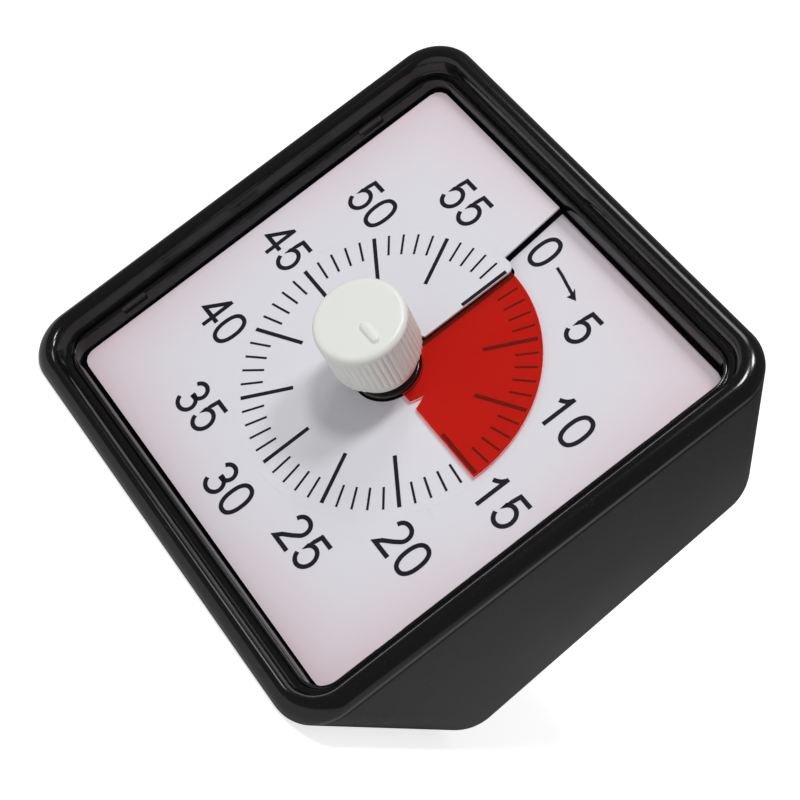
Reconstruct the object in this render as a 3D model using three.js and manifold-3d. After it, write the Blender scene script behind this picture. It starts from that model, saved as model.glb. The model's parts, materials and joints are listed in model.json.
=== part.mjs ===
// Square sixty-minute kitchen timer: a tapered case that leans back on its sloped underside, a white dial
// sheet slit once from hub to rim, a red film that winds through the slit, a fluted setting knob and the
// battery-driven movement behind. Millimetres, +Z up, the dial looks towards -Y and upwards.
//
// Everything is first placed in the dial's own axes: x towards the 15, y towards the 0, z out of the dial,
// with z = 0 on the middle height of the dial sheet. The last step leans the whole timer onto its underside.
import * as THREE from 'three';
import { mergeVertices } from 'three/addons/utils/BufferGeometryUtils.js';
import Module from 'manifold-3d';

const wasm = await Module();
wasm.setup();

// ---- overall sizes -------------------------------------------------------------------------------------
const faceSide = 80;              // side of the square front
const half = faceSide / 2;
const faceCorner = 7;             // corner radius of the front
const bezelTop = 5.2;             // crest of the bezel above the dial
const bezelSeat = 2.9;            // underside of the bezel where it meets the case rim
const rearSlope = 0.137;          // rear face: how fast the depth shrinks towards the top
const undersideAngle = 24;        // slope of the underside, degrees; also the lean of the dial
const topAngle = 13.5;            // slope of the top, degrees
const caseWall = 2.0;
const rearWall = 2.4;
const rearRound = 3.0;            // rounding of the rear edge
const bezelWidth = 5.85;          // side of the front to the edge of the visible dial
const dialHalf = half - bezelWidth;
const dialCorner = 2.0;
const fitGap = 0.25;              // assembly gap
const runGap = 0.1;               // running gap of the spindle in its bush
const seamGap = 0.3;              // gap between neighbouring shells

// ---- dial sheet and film -------------------------------------------------------------------------------
const sheetThickness = 0.6;
const filmThickness = 0.25;
const filmGap = 0.3;              // film to sheet, above and below
const helixPitch = sheetThickness + filmThickness + 2 * filmGap;
const filmInner = 5.25;
const filmOuter = 22.7;
const hubHole = filmInner + 0.05; // hole in the dial sheet
const hubRelief = filmInner + 1.75; // wider hole at the lifted end of the slit
const flapClear = 0.65;           // the film runs under the flap with this much to spare
const flapEnd = filmOuter + flapClear;
const flapRound = 1.4;
const outerSlit = 5.0;            // beyond the flap the slit sits this many degrees before zero
const slitGap = 0.3;
const setMinutes = 15;            // the setting the parts are drawn at
const filmEdgeOffset = 0.6;       // straight leading edge, past the radial line
const filmNotch = { near: 7.06, tip: 7.68, far: 8.5, depth: 2.1 };
const collarRadius = filmInner - fitGap;

// ---- knob and spindle ----------------------------------------------------------------------------------
const knobRadius = 6.8;
const knobHeight = 9.0;
const knobFlutes = 48;
const fluteDepth = 0.22;
const knobRound = 1.3;            // rounding of the knob's upper edge
const neckRadius = 5.4;
const neckHeight = 2.9;
const neckClear = 1.125;          // highest the film goes, to the neck
const neckBase = helixPitch / 2 + filmGap + filmThickness + neckClear;
const knobBase = neckBase + neckHeight;
const knobTop = knobBase + knobHeight;
const ridge = { near: 0.9, far: 5.0, width: 1.5, height: 0.5 };
const spindleRadius = 1.5;
const spindleSocket = 2.5;        // material left in the knob above the spindle
const spindleEdge = 0.3;          // chamfer at the spindle's ends

// ---- carrier plate behind the dial ---------------------------------------------------------------------
const carrierClear = 0.4;
const carrierFront = -1.5 * helixPitch + filmGap - carrierClear;
const carrierThickness = 1.6;
const carrierBack = carrierFront - carrierThickness;
const carrierLap = 1.05;          // the plate reaches this far behind the bezel
const carrierHalf = dialHalf + carrierLap;
const carrierLow = carrierHalf - 1.6;
const postRadius = 1.5;
const postInset = 4.15;           // dial's edge to the posts that hold the sheet
const bushWall = 1.5;
const bushRadius = spindleRadius + bushWall;

// ---- movement ------------------------------------------------------------------------------------------
const movementFront = carrierBack - seamGap;
const movementDepth = 6.4;
const movementBack = movementFront - movementDepth;
const movementWall = 0.9;
const movementBox = { left: -23, right: 23, bottom: -16.5, top: 25.5, corner: 3 };
const gearModule = 0.6;
const wheelFace = 1.0;
const centreTeeth = 40;
const thirdTeeth = 32;
const pinionTeeth = 8;
const thirdBearing = 130;         // direction from the spindle to the third wheel, degrees
const rotorBearing = 10;          // direction from the third wheel to the rotor, degrees
const levelGap = 0.25;            // between wheels that pass over one another
const magnetRadius = 2.3;
const magnetHeight = 1.2;
const arborRadius = 0.5;
const arborGap = 0.15;            // end float of the arbors
const socketHeight = 0.15;        // bearing sockets above the trays' floors
const stator = { reach: 4.0, length: 20.8, width: 11, thickness: 0.6, leg: 3.0, eyeGap: 0.5, drop: 0.3 };
const winding = { width: 6.2, above: 2.2, below: 0.8, margin: 2.5 }; // margin: bare leg left at each end
const board = { width: 7.8, length: 19.4, thickness: 0.8, margin: 0.75, drop: 1.2 };
const crystal = { radius: 0.95, length: 5.6 };
const ear = { out: 3, half: 3, thickness: 2.2, upper: 18, lower: -8 };

// The centre wheel runs under the front tray and the winding lies in the rear one; the others go between.
const centreLevel = movementFront - movementWall - socketHeight - levelGap;
const statorLevel = movementBack + movementWall + seamGap + winding.below;
const magnetLevel = statorLevel + stator.thickness / 2 + stator.drop;
const thirdLevel = magnetLevel + levelGap + wheelFace;

// ---- battery, door, buzzer and switch, placed on the rear face -----------------------------------------
const cellRadius = 7.1;
const cellLength = 49.5;
const springSpace = 4.6;          // left of the cell
const contactSpace = 2.3;         // right of the cell
const doorThickness = 1.5;
const doorGap = 0.2;
const doorLip = 1.2;
const bayWall = 1.0;
const bayLow = -20.9;             // lower side of the cell's bay, along the rear face
const bayGap = 0.9;               // bay to movement
const bayHalfLength = (cellLength + springSpace + contactSpace) / 2;
const bayHalfWidth = cellRadius + seamGap;
const cellCentre = bayLow + bayWall + bayHalfWidth;
const cellDepth = doorThickness + doorGap + fitGap + cellRadius;
const bayDepth = cellDepth + cellRadius + seamGap + bayWall;
const buzzer = { x: -12, y: 15, radius: 10, thickness: 0.3, rim: 1.2, lap: 1.4 };
const soundHole = { radius: 0.9, ring: 4 };
const lever = { x: 18, y: 15, width: 2.6, height: 2.2, travel: 3.6, foot: 1.0 };
const switchBlock = { halfLength: 6, halfWidth: 3, height: 4.4 };

// The case is as deep as the movement, the gap behind it, the cell's bay and the rear face's tilt make it.
const rearNorm = Math.hypot(1, rearSlope);
const bayTop = cellCentre + bayHalfWidth + bayWall;
const rearDepth = -movementBack + bayGap + (bayDepth + bayTop * rearSlope) / rearNorm;

// ---- screws --------------------------------------------------------------------------------------------
const screw = { radius: 1.1, headRadius: 2.2, headHeight: 1.6, length: 12.5 };
const screwInset = { side: 6.8, top: 12.4 }; // from the sides and the top of the front
const screwPlaces = { x: half - screwInset.side, upper: half - screwInset.top, lower: cellCentre - 1 };
const screwSink = 3.2;
const screwWall = 0.9;
const screwPost = 5;              // seat to the end of the housing's post
const seatGap = 0.1;              // a screw's head to its seat

// ========================================================================================================
// Solids
// ========================================================================================================
function meshFrom(positions, triangles) {
  const geometry = new THREE.BufferGeometry();
  geometry.setAttribute('position', new THREE.Float32BufferAttribute(positions, 3));
  geometry.setIndex(triangles);
  return geometry;
}

function weld(geometry) {
  const bare = new THREE.BufferGeometry();
  bare.setAttribute('position', geometry.getAttribute('position'));
  if (geometry.index) bare.setIndex(geometry.index);
  return mergeVertices(bare, 1e-4);
}

function solidOf(geometry) {
  const clean = weld(geometry);
  const vertProperties = new Float32Array(clean.getAttribute('position').array);
  const triVerts = new Uint32Array(clean.index.array);
  const data = new wasm.Mesh({ numProp: 3, vertProperties, triVerts });
  data.merge();
  return new wasm.Manifold(data);
}

function geometryOf(solid) {
  const data = solid.getMesh();
  return meshFrom(Array.from(data.vertProperties), Array.from(data.triVerts));
}

function combine(base, added, removed) {
  let solid = solidOf(base);
  for (const piece of added) solid = solid.add(solidOf(piece));
  for (const piece of removed) solid = solid.subtract(solidOf(piece));
  return geometryOf(solid);
}

function outline(points) {
  return new THREE.Shape(points.map((p) => new THREE.Vector2(p[0], p[1])));
}

function circlePoints(x, y, radius, count) {
  const points = [];
  for (let i = 0; i < count; i += 1) {
    const a = (2 * Math.PI * i) / count;
    points.push([x + radius * Math.cos(a), y + radius * Math.sin(a)]);
  }
  return points;
}

function roundedLoop(left, right, bottom, top, radius, steps) {
  const corners = [
    [right - radius, bottom + radius, -90],
    [right - radius, top - radius, 0],
    [left + radius, top - radius, 90],
    [left + radius, bottom + radius, 180],
  ];
  const points = [];
  for (const [cx, cy, from] of corners) {
    for (let i = 0; i <= steps; i += 1) {
      const a = THREE.MathUtils.degToRad(from + (90 * i) / steps);
      points.push([cx + radius * Math.cos(a), cy + radius * Math.sin(a)]);
    }
  }
  return points;
}

function prism(points, low, high, holes = []) {
  const shape = outline(points);
  for (const hole of holes) shape.holes.push(new THREE.Path(hole.map((p) => new THREE.Vector2(p[0], p[1]))));
  const geometry = new THREE.ExtrudeGeometry(shape, { depth: high - low, bevelEnabled: false });
  return geometry.translate(0, 0, low);
}

function box(left, right, bottom, top, low, high) {
  return prism([[left, bottom], [right, bottom], [right, top], [left, top]], low, high);
}

function cylinder(x, y, radius, low, high, count = 24) {
  return prism(circlePoints(x, y, radius, count), low, high);
}

function tubeRing(x, y, outer, inner, low, high, count = 24) {
  return prism(circlePoints(x, y, outer, count), low, high, [circlePoints(x, y, inner, count)]);
}

// Loops of equal point count joined in order; the first and last loop are closed by flat fans.
function loft(loops) {
  const count = loops[0].length;
  const positions = [];
  const triangles = [];
  for (const loop of loops) for (const p of loop) positions.push(...p);
  for (let row = 0; row + 1 < loops.length; row += 1) {
    for (let i = 0; i < count; i += 1) {
      const a = row * count + i;
      const b = row * count + ((i + 1) % count);
      triangles.push(a, b, a + count, b, b + count, a + count);
    }
  }
  const capAt = (loop, offset, flip) => {
    const centre = [0, 1, 2].map((k) => loop.reduce((sum, p) => sum + p[k], 0) / count);
    const hub = positions.length / 3;
    positions.push(...centre);
    for (let i = 0; i < count; i += 1) {
      const a = offset + i;
      const b = offset + ((i + 1) % count);
      triangles.push(...(flip ? [hub, b, a] : [hub, a, b]));
    }
  };
  capAt(loops[0], 0, true);
  capAt(loops[loops.length - 1], (loops.length - 1) * count, false);
  return meshFrom(positions, triangles);
}

// Loops joined in order and the last joined back to the first: a closed frame.
function frameSweep(loops) {
  const count = loops[0].length;
  const positions = loops.flat(2);
  const triangles = [];
  for (let row = 0; row < loops.length; row += 1) {
    const next = (row + 1) % loops.length;
    for (let i = 0; i < count; i += 1) {
      const j = (i + 1) % count;
      triangles.push(row * count + i, row * count + j, next * count + i);
      triangles.push(row * count + j, next * count + j, next * count + i);
    }
  }
  return meshFrom(positions, triangles);
}

// A sheet given as a grid of top points and the matching grid of bottom points.
function sheetSolid(top, bottom) {
  const rows = top.length;
  const columns = top[0].length;
  const positions = [...top.flat(2), ...bottom.flat(2)];
  const under = rows * columns;
  const triangles = [];
  const quad = (a, b, c, d) => triangles.push(a, b, c, a, c, d);
  for (let r = 0; r + 1 < rows; r += 1) {
    for (let c = 0; c + 1 < columns; c += 1) {
      const a = r * columns + c;
      quad(a, a + 1, a + columns + 1, a + columns);
      quad(under + a, under + a + columns, under + a + columns + 1, under + a + 1);
    }
  }
  for (let c = 0; c + 1 < columns; c += 1) {
    const last = (rows - 1) * columns + c;
    quad(c, under + c, under + c + 1, c + 1);
    quad(last, last + 1, under + last + 1, under + last);
  }
  for (let r = 0; r + 1 < rows; r += 1) {
    const first = r * columns;
    const end = r * columns + columns - 1;
    quad(first, first + columns, under + first + columns, under + first);
    quad(end, under + end, under + end + columns, end + columns);
  }
  return meshFrom(positions, triangles);
}

function lathe(profile, count) {
  const points = profile.map((p) => new THREE.Vector2(p[0], p[1]));
  return new THREE.LatheGeometry(points, count).rotateX(Math.PI / 2);
}

// ========================================================================================================
// Frames
// ========================================================================================================
// Local axes on the rear face: x as the dial's, y up along the face, z inwards from the surface.
const rearFrame = new THREE.Matrix4().makeBasis(
  new THREE.Vector3(1, 0, 0),
  new THREE.Vector3(0, 1 / rearNorm, rearSlope / rearNorm),
  new THREE.Vector3(0, -rearSlope / rearNorm, 1 / rearNorm),
).setPosition(0, 0, -rearDepth);

function onRear(geometry) {
  return geometry.applyMatrix4(rearFrame);
}

function rearZ(y) {
  return -rearDepth + rearSlope * y;
}

// ========================================================================================================
// Case
// ========================================================================================================
const lowSlope = Math.tan(THREE.MathUtils.degToRad(undersideAngle));
const topSlope = Math.tan(THREE.MathUtils.degToRad(topAngle));
const rimTop = bezelSeat - seamGap;

// One closed loop of the case body: share runs from 0 at the front rim to 1 at the given rear plane.
function caseLoop(share, inset, rearLift, front) {
  const rise = rearLift - rearDepth - front;
  const lowStart = -half + inset / Math.cos(Math.atan(lowSlope)) - lowSlope * (front - bezelSeat);
  const topStart = half - inset / Math.cos(Math.atan(topSlope)) + topSlope * (front - bezelSeat);
  const low = (lowStart - lowSlope * share * rise) / (1 + lowSlope * share * rearSlope);
  const high = (topStart + topSlope * share * rise) / (1 - topSlope * share * rearSlope);
  const corner = Math.max(faceCorner - inset, 2);
  const flat = roundedLoop(-half + inset, half - inset, low, high, corner, 7);
  return flat.map(([x, y]) => [x, y, front + share * (rise + rearSlope * y)]);
}

function caseShell() {
  const outer = [];
  for (const turn of [90, 60, 30, 0]) {
    const a = THREE.MathUtils.degToRad(turn);
    const inset = rearRound * (1 - Math.cos(a));
    outer.push(caseLoop(1, inset, rearRound * (1 - Math.sin(a)), rimTop));
  }
  outer.push(caseLoop(0, 0, 0, rimTop - 0.5));
  outer.push(caseLoop(0, 0.35, 0, rimTop));
  const inner = [caseLoop(0, caseWall, rearWall, rimTop), caseLoop(1, caseWall, rearWall, rimTop)];
  return loft([...outer, ...inner]);
}

function screwSites() {
  const sites = [];
  for (const side of [-1, 1]) {
    for (const y of [screwPlaces.upper, screwPlaces.lower]) sites.push([side * screwPlaces.x, y]);
  }
  return sites;
}

function seatZ(y) {
  return rearZ(y) + screwSink;
}

function batteryBay() {
  const reach = bayHalfLength + bayWall;
  return box(-reach, reach, bayLow, bayTop, rearWall / 2, bayDepth);
}

function bayHollow() {
  const low = cellCentre - bayHalfWidth;
  return box(-bayHalfLength, bayHalfLength, low, low + 2 * bayHalfWidth, -1, bayDepth - bayWall);
}

function doorOutline(grow) {
  const reach = bayHalfLength + doorLip - seamGap + grow;
  const wide = bayHalfWidth + doorLip - seamGap + grow;
  return roundedLoop(-reach, reach, cellCentre - wide, cellCentre + wide, 1.5 + grow, 4);
}

function rearHousing() {
  const added = [onRear(batteryBay())];
  const removed = [];
  const postOuter = screw.headRadius + fitGap + screwWall;
  for (const [x, y] of screwSites()) {
    const seat = seatZ(y);
    added.push(cylinder(x, y, postOuter, seat - screwSink + rearWall / 2, seat + screwPost, 20));
    removed.push(cylinder(x, y, screw.headRadius + fitGap, seat - screwSink - 2, seat, 20));
    removed.push(cylinder(x, y, screw.radius + fitGap, seat - 1, seat + screwPost + 1, 16));
  }
  const { x, y, radius, rim, lap } = buzzer;
  const outer = radius + fitGap + rim;
  added.push(onRear(tubeRing(x, y, outer, radius - lap, rearWall - 0.6, rearWall + lap, 28)));
  added.push(onRear(tubeRing(x, y, outer, radius + fitGap, rearWall + 1, rearWall + lap + rim, 28)));
  for (let i = 0; i < 7; i += 1) {
    const a = (Math.PI * i) / 3;
    const out = i < 6 ? soundHole.ring : 0;
    const holeX = x + out * Math.cos(a);
    const holeY = y + out * Math.sin(a);
    removed.push(onRear(cylinder(holeX, holeY, soundHole.radius, -1, rearWall + 1, 10)));
  }
  removed.push(onRear(bayHollow()));
  removed.push(onRear(prism(doorOutline(seamGap), -1, doorThickness + doorGap)));
  const slotReach = lever.width / 2 + seamGap;
  const slotHigh = lever.height / 2 + seamGap;
  const left = lever.x - slotReach;
  const right = lever.x + slotReach + lever.travel;
  removed.push(onRear(box(left, right, lever.y - slotHigh, lever.y + slotHigh, -1, rearWall + 1)));
  const rebate = { side: 2.4, end: 1.4, depth: 1 };
  const rebateHigh = slotHigh + rebate.end;
  removed.push(onRear(box(
    left - rebate.side, right + rebate.side, lever.y - rebateHigh, lever.y + rebateHigh, -1, rebate.depth,
  )));
  return combine(caseShell(), added, removed);
}

// Bezel: closed section given as [distance from the centre line, height].
const skirt = { side: half - 4.1, low: -0.6, lap: 0.4 };

function bezelSection() {
  const lip = dialHalf + skirt.lap;
  return [
    [half, bezelSeat], [half - 0.04, bezelSeat + 0.8], [half - 0.4, bezelTop - 0.75],
    [half - 1.0, bezelTop - 0.25], [half - 1.75, bezelTop], [half - 2.4, bezelTop - 0.05],
    [half - 2.85, bezelTop - 0.4], [half - 3.15, bezelTop - 1.1], [half - 3.3, bezelTop - 1.8],
    [half - 3.5, bezelTop - 2.45], [half - 3.85, bezelTop - 2.85], [half - 4.2, bezelTop - 2.95],
    [half - 4.45, bezelTop - 2.75], [half - 4.7, bezelTop - 2.7], [half - 4.95, bezelTop - 2.85],
    [half - 5.15, bezelTop - 3.4], [lip + 0.05, 0], [lip, skirt.low],
    [skirt.side, skirt.low], [skirt.side, bezelSeat],
  ];
}

function bezelCorner(distance) {
  const crest = half - 4.7;
  if (distance >= crest) return THREE.MathUtils.mapLinear(distance, crest, half, 4.2, faceCorner);
  return THREE.MathUtils.mapLinear(distance, dialHalf + skirt.lap, crest, dialCorner + 0.2, 4.2);
}

const clip = { length: 4.4, low: 11.25, high: 12.25, hook: 1.2, relief: 1.2 };
const clipSites = [];
for (const side of [-1, 1]) clipSites.push([side, clip.low - dialHalf], [side, dialHalf - clip.high]);

function frontBezel() {
  const loops = bezelSection().map(([d, z]) => (
    roundedLoop(-d, d, -d, d, bezelCorner(d), 8).map(([x, y]) => [x, y, z])
  ));
  const added = [];
  const removed = [];
  const low = carrierBack - seamGap - clip.hook;
  for (const [side, y] of clipSites) {
    const block = (from, to, bottom, top) => box(
      Math.min(side * from, side * to), Math.max(side * from, side * to),
      y - clip.length / 2, y + clip.length / 2, bottom, top,
    );
    added.push(block(dialHalf + 0.5, skirt.side - 0.05, low, 0));
    added.push(block(dialHalf - 0.7, skirt.side - 0.05, low, low + clip.hook));
    removed.push(block(dialHalf - 1, half - 4.85, clip.relief, bezelTop));
  }
  return combine(frameSweep(loops), added, removed);
}

// ========================================================================================================
// Dial sheet, film and collar
// ========================================================================================================
function rise(angle) {
  return helixPitch * (angle / (2 * Math.PI) - 0.5);
}

function polar(radius, angle, z) {
  return [radius * Math.sin(angle), radius * Math.cos(angle), z];
}

// Distance from the centre to the edge of the square dial in a given direction.
function dialReach(angle) {
  const s = Math.abs(Math.sin(angle));
  const c = Math.abs(Math.cos(angle));
  const straight = dialHalf / Math.max(s, c);
  const inner = dialHalf - dialCorner;
  if (Math.min(s, c) * straight <= inner) return straight;
  const along = inner * (s + c);
  return along + Math.sqrt(along * along - 2 * inner * inner + dialCorner * dialCorner);
}

// How far before zero the lifted edge of the slit ends, as an angle, at each radius.
function slitTrim(radius) {
  if (radius > flapEnd) return THREE.MathUtils.degToRad(outerSlit);
  const into = Math.max(0, radius - (flapEnd - flapRound));
  const back = flapRound - Math.sqrt(Math.max(0, flapRound * flapRound - into * into));
  return (0.05 + back) / radius;
}

function sheetAngles() {
  const list = [];
  for (let a = -5; a < 355; a += 6) list.push(a);
  for (const corner of [45, 135, 225, 315]) list.push(corner - 1.6, corner, corner + 1.6);
  return [...new Set(list)].sort((a, b) => a - b).concat(355);
}

function dialSheet() {
  const shares = sheetAngles().map((a) => (a + 5) / 360);
  const rowAt = (radiusOf, trim) => shares.map((share) => {
    const start = -trim + slitGap / radiusOf(0);
    const angle = start + (2 * Math.PI - trim - start) * share;
    return [angle, radiusOf(angle, share)];
  });
  const hub = (angle, share = 0) => hubHole + (hubRelief - hubHole) * Math.max(0, (share - 0.93) / 0.07);
  const steady = [hubRelief + 0.6, flapEnd - flapRound, flapEnd - 0.5, flapEnd];
  const rows = [rowAt(hub, slitTrim(hubHole))];
  for (const radius of steady) rows.push(rowAt(() => radius, slitTrim(radius)));
  rows.push(rowAt(() => flapEnd + 0.05, slitTrim(flapEnd + 0.05)));
  rows.push(rowAt((angle) => dialReach(angle), slitTrim(flapEnd + 1)));
  const top = rows.map((row) => row.map(([angle, radius]) => polar(radius, angle, rise(angle))));
  const bottom = rows.map((row) => (
    row.map(([angle, radius]) => polar(radius, angle, rise(angle) - sheetThickness))
  ));
  return sheetSolid(top, bottom);
}

function filmEdge(radius) {
  return (2 * Math.PI * setMinutes) / 60 + Math.asin(filmEdgeOffset / radius);
}

function redFilm() {
  const radii = [filmInner, filmNotch.near, filmNotch.tip, filmNotch.far, filmOuter];
  const start = filmEdge(filmOuter) - 2 * Math.PI + 0.01;
  const steps = 64;
  const grid = (lift) => radii.map((radius) => {
    const notch = radius === filmNotch.tip ? filmNotch.depth / radius : 0;
    const row = [];
    for (let i = 0; i <= steps; i += 1) {
      const share = i / steps;
      const ramp = Math.max(0, (share - 0.9) / 0.1);
      const angle = start + (filmEdge(radius) - start) * share - notch * ramp;
      row.push(polar(radius, angle, rise(angle) + lift));
    }
    return row;
  });
  return sheetSolid(grid(filmGap + filmThickness), grid(filmGap));
}

// The collar that carries the film: one turn of the film must fit on its height.
function filmCollar() {
  const low = rise((2 * Math.PI * setMinutes) / 60 - 2 * Math.PI) + filmGap - 0.1;
  const high = rise((2 * Math.PI * setMinutes) / 60) + filmGap + filmThickness + 0.1;
  const bore = spindleRadius + fitGap;
  return lathe([
    [bore, low], [collarRadius - 0.2, low], [collarRadius, low + 0.2], [collarRadius, high - 0.3],
    [collarRadius - 0.3, high], [bore, high], [bore, low],
  ], 40);
}

// ========================================================================================================
// Knob and spindle
// ========================================================================================================
function knobLoop(radius, z, depth) {
  const points = [];
  const steps = knobFlutes * 2;
  for (let i = 0; i < steps; i += 1) {
    const a = (2 * Math.PI * i) / steps;
    const dip = i % 2 === 0 ? depth : 0;
    points.push([(radius - dip) * Math.cos(a), (radius - dip) * Math.sin(a), z]);
  }
  return points;
}

function knob() {
  const body = loft([
    knobLoop(knobRadius - 0.25, knobBase, fluteDepth),
    knobLoop(knobRadius, knobBase + 0.3, fluteDepth),
    knobLoop(knobRadius, knobTop - knobRound, fluteDepth),
    knobLoop(knobRadius - 0.06, knobTop - 0.8, 0),
    knobLoop(knobRadius - 0.4, knobTop - 0.25, 0),
    knobLoop(knobRadius - 1.0, knobTop, 0),
  ]);
  const neck = lathe([
    [0, knobBase + 0.5], [neckRadius, knobBase + 0.5], [neckRadius, neckBase + 0.2],
    [neckRadius - 0.2, neckBase], [0, neckBase],
  ].reverse(), 40);
  const bore = cylinder(0, 0, spindleRadius + fitGap, neckBase - 1, knobTop - spindleSocket, 24);
  return combine(body, [neck, pointerRidge()], [bore]);
}

// Raised pointer on the knob's top, along x: a long pill whose sides draw in as it rises.
function pointerRidge() {
  const end = ridge.width / 2;
  const level = (inset, z) => {
    const side = end - inset;
    const loop = roundedLoop(ridge.near + inset, ridge.far - inset, -side, side, side, 8);
    return loop.map(([x, y]) => [x, y, z]);
  };
  return loft([
    level(0, knobTop - 0.4), level(0.02, knobTop + 0.02), level(0.16, knobTop + ridge.height * 0.7),
    level(0.42, knobTop + ridge.height),
  ]);
}

function spindle() {
  const low = movementBack + movementWall + fitGap;
  const high = knobTop - spindleSocket - fitGap;
  const radius = spindleRadius;
  const edge = spindleEdge;
  return lathe([
    [0, low], [radius - edge, low], [radius, low + edge],
    [radius, high - edge], [radius - edge, high], [0, high],
  ], 24);
}

// ========================================================================================================
// Carrier plate
// ========================================================================================================
function sheetPosts() {
  const posts = [];
  const w = dialHalf - postInset;
  const sites = [[w, w], [w + 1, 0], [w, -w], [0, -w], [-w, -w], [-w - 1, 0], [-w, w], [8, w], [-12, w]];
  for (const [x, y] of sites) {
    const angle = (Math.atan2(x, y) + 2 * Math.PI) % (2 * Math.PI);
    const top = rise(angle) - sheetThickness - seamGap;
    posts.push(cylinder(x, y, postRadius, carrierFront - 0.5, top, 16));
  }
  return posts;
}

function dialCarrier() {
  const plate = prism(
    roundedLoop(-carrierHalf, carrierHalf, -carrierLow, carrierHalf, 4, 5), carrierBack, carrierFront,
    [circlePoints(0, 0, bushRadius + seamGap, 28)],
  );
  const added = sheetPosts();
  const removed = [];
  for (const [x, y] of screwSites()) {
    const low = seatZ(y) + screwPost + seamGap;
    added.push(cylinder(x, y, screw.radius + screwWall, low, carrierBack + 0.5, 20));
    removed.push(cylinder(x, y, screw.radius + fitGap, seatZ(y), carrierBack + 0.6, 16));
  }
  for (const [side, y] of clipSites) {
    const from = side > 0 ? dialHalf + 0.2 : -carrierHalf - 1;
    const to = side > 0 ? carrierHalf + 1 : -dialHalf - 0.2;
    const reach = clip.length / 2 + seamGap;
    removed.push(box(from, to, y - reach, y + reach, carrierBack - 1, carrierFront + 1));
  }
  return combine(plate, added, removed);
}

// ========================================================================================================
// Movement
// ========================================================================================================
const centreRadius = (gearModule * centreTeeth) / 2;
const thirdRadius = (gearModule * thirdTeeth) / 2;
const pinionRadius = (gearModule * pinionTeeth) / 2;

function offsetFrom(origin, distance, bearing) {
  const a = THREE.MathUtils.degToRad(bearing);
  return [origin[0] + distance * Math.cos(a), origin[1] + distance * Math.sin(a)];
}

const thirdAxis = offsetFrom([0, 0], centreRadius + pinionRadius, thirdBearing);
const rotorAxis = offsetFrom(thirdAxis, thirdRadius + pinionRadius, rotorBearing);

// Toothed outline with slim rounded teeth; one tooth is centred on the given direction.
function toothedLoop(teeth, direction) {
  const pitch = (gearModule * teeth) / 2;
  const tip = pitch + gearModule * 0.75;
  const root = pitch - gearModule * 1.15;
  const step = (2 * Math.PI) / teeth;
  const thick = (Math.PI * gearModule * 0.36) / 2;
  const points = [];
  for (let i = 0; i < teeth; i += 1) {
    const at = THREE.MathUtils.degToRad(direction) + step * i;
    const place = (radius, away) => {
      points.push([radius * Math.cos(at + away), radius * Math.sin(at + away)]);
    };
    place(root, -(thick * 1.25) / root);
    place(pitch, -thick / pitch);
    place(tip, -(thick * 0.45) / tip);
    place(tip, (thick * 0.45) / tip);
    place(pitch, thick / pitch);
    place(root, (thick * 1.25) / root);
  }
  return points;
}

function centreWheel() {
  const bore = circlePoints(0, 0, spindleRadius + fitGap, 20);
  const windows = [0, 1, 2, 3, 4].map((i) => {
    const a = (2 * Math.PI * (i + 0.5)) / 5;
    return circlePoints(6.6 * Math.cos(a), 6.6 * Math.sin(a), 2.4, 16);
  });
  const rim = toothedLoop(centreTeeth, thirdBearing);
  return prism(rim, centreLevel - wheelFace, centreLevel, [bore, ...windows]);
}

function arbor() {
  const high = movementFront - movementWall - arborGap;
  const low = movementBack + movementWall + arborGap;
  return cylinder(0, 0, arborRadius, low, high, 12);
}

function thirdWheel() {
  const pinionTurn = thirdBearing + 180 + 180 / pinionTeeth;
  const pinion = prism(toothedLoop(pinionTeeth, pinionTurn), thirdLevel - 0.1, centreLevel);
  const windows = [0, 1, 2, 3].map((i) => {
    const a = (Math.PI * (i + 0.5)) / 2;
    return circlePoints(5.2 * Math.cos(a), 5.2 * Math.sin(a), 2.0, 16);
  });
  const wheel = prism(toothedLoop(thirdTeeth, rotorBearing), thirdLevel - wheelFace, thirdLevel, windows);
  return combine(wheel, [pinion, arbor()], []);
}

function rotor() {
  const pinionTurn = rotorBearing + 180 + 180 / pinionTeeth;
  const pinion = prism(toothedLoop(pinionTeeth, pinionTurn), magnetLevel - 0.1, thirdLevel);
  const magnet = cylinder(0, 0, magnetRadius, magnetLevel - magnetHeight, magnetLevel, 24);
  return combine(magnet, [pinion, arbor()], []);
}

const statorRight = stator.length - stator.reach;

// Plate round the rotor's axis, with a bare leg on its right for the winding.
function statorPlate() {
  const { reach, width, leg, thickness, eyeGap } = stator;
  const rim = roundedLoop(-reach, statorRight, -width / 2, width / 2, 1, 3);
  const eye = circlePoints(0, 0, magnetRadius + eyeGap, 24);
  const window = roundedLoop(magnetRadius + 3, statorRight - leg, 2 - width / 2, width / 2 - 2, 0.5, 2);
  return prism(rim, -thickness / 2, thickness / 2, [eye, window]);
}

// Winding round the stator's leg, drawn along z and laid along y when it is placed.
function coil() {
  const { leg, thickness, width } = stator;
  const length = width - 2 * winding.margin;
  const body = roundedLoop(-winding.width / 2, winding.width / 2, -winding.below, winding.above, 0.9, 4);
  const reachX = leg / 2 + fitGap;
  const reachY = thickness / 2 + fitGap;
  return prism(body, -length / 2, length / 2, [roundedLoop(-reachX, reachX, -reachY, reachY, 0.1, 2)]);
}

const boardRight = movementBox.right - movementWall - board.margin;
const boardLow = movementBox.bottom + movementWall + board.margin;
const boardBack = movementFront - movementWall - board.drop - board.thickness;

// Drawn about the middle of its lower end, at the height of its back.
function circuitBoard() {
  const outlineLoop = roundedLoop(-board.width / 2, board.width / 2, 0, board.length, 0.5, 2);
  const chip = lathe([[0, 0], [2.2, 0], [1.9, -0.6], [1.0, -0.95], [0, -1.05]].reverse(), 24);
  return combine(prism(outlineLoop, 0, board.thickness), [chip.translate(0, 12, 0.05)], []);
}

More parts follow.
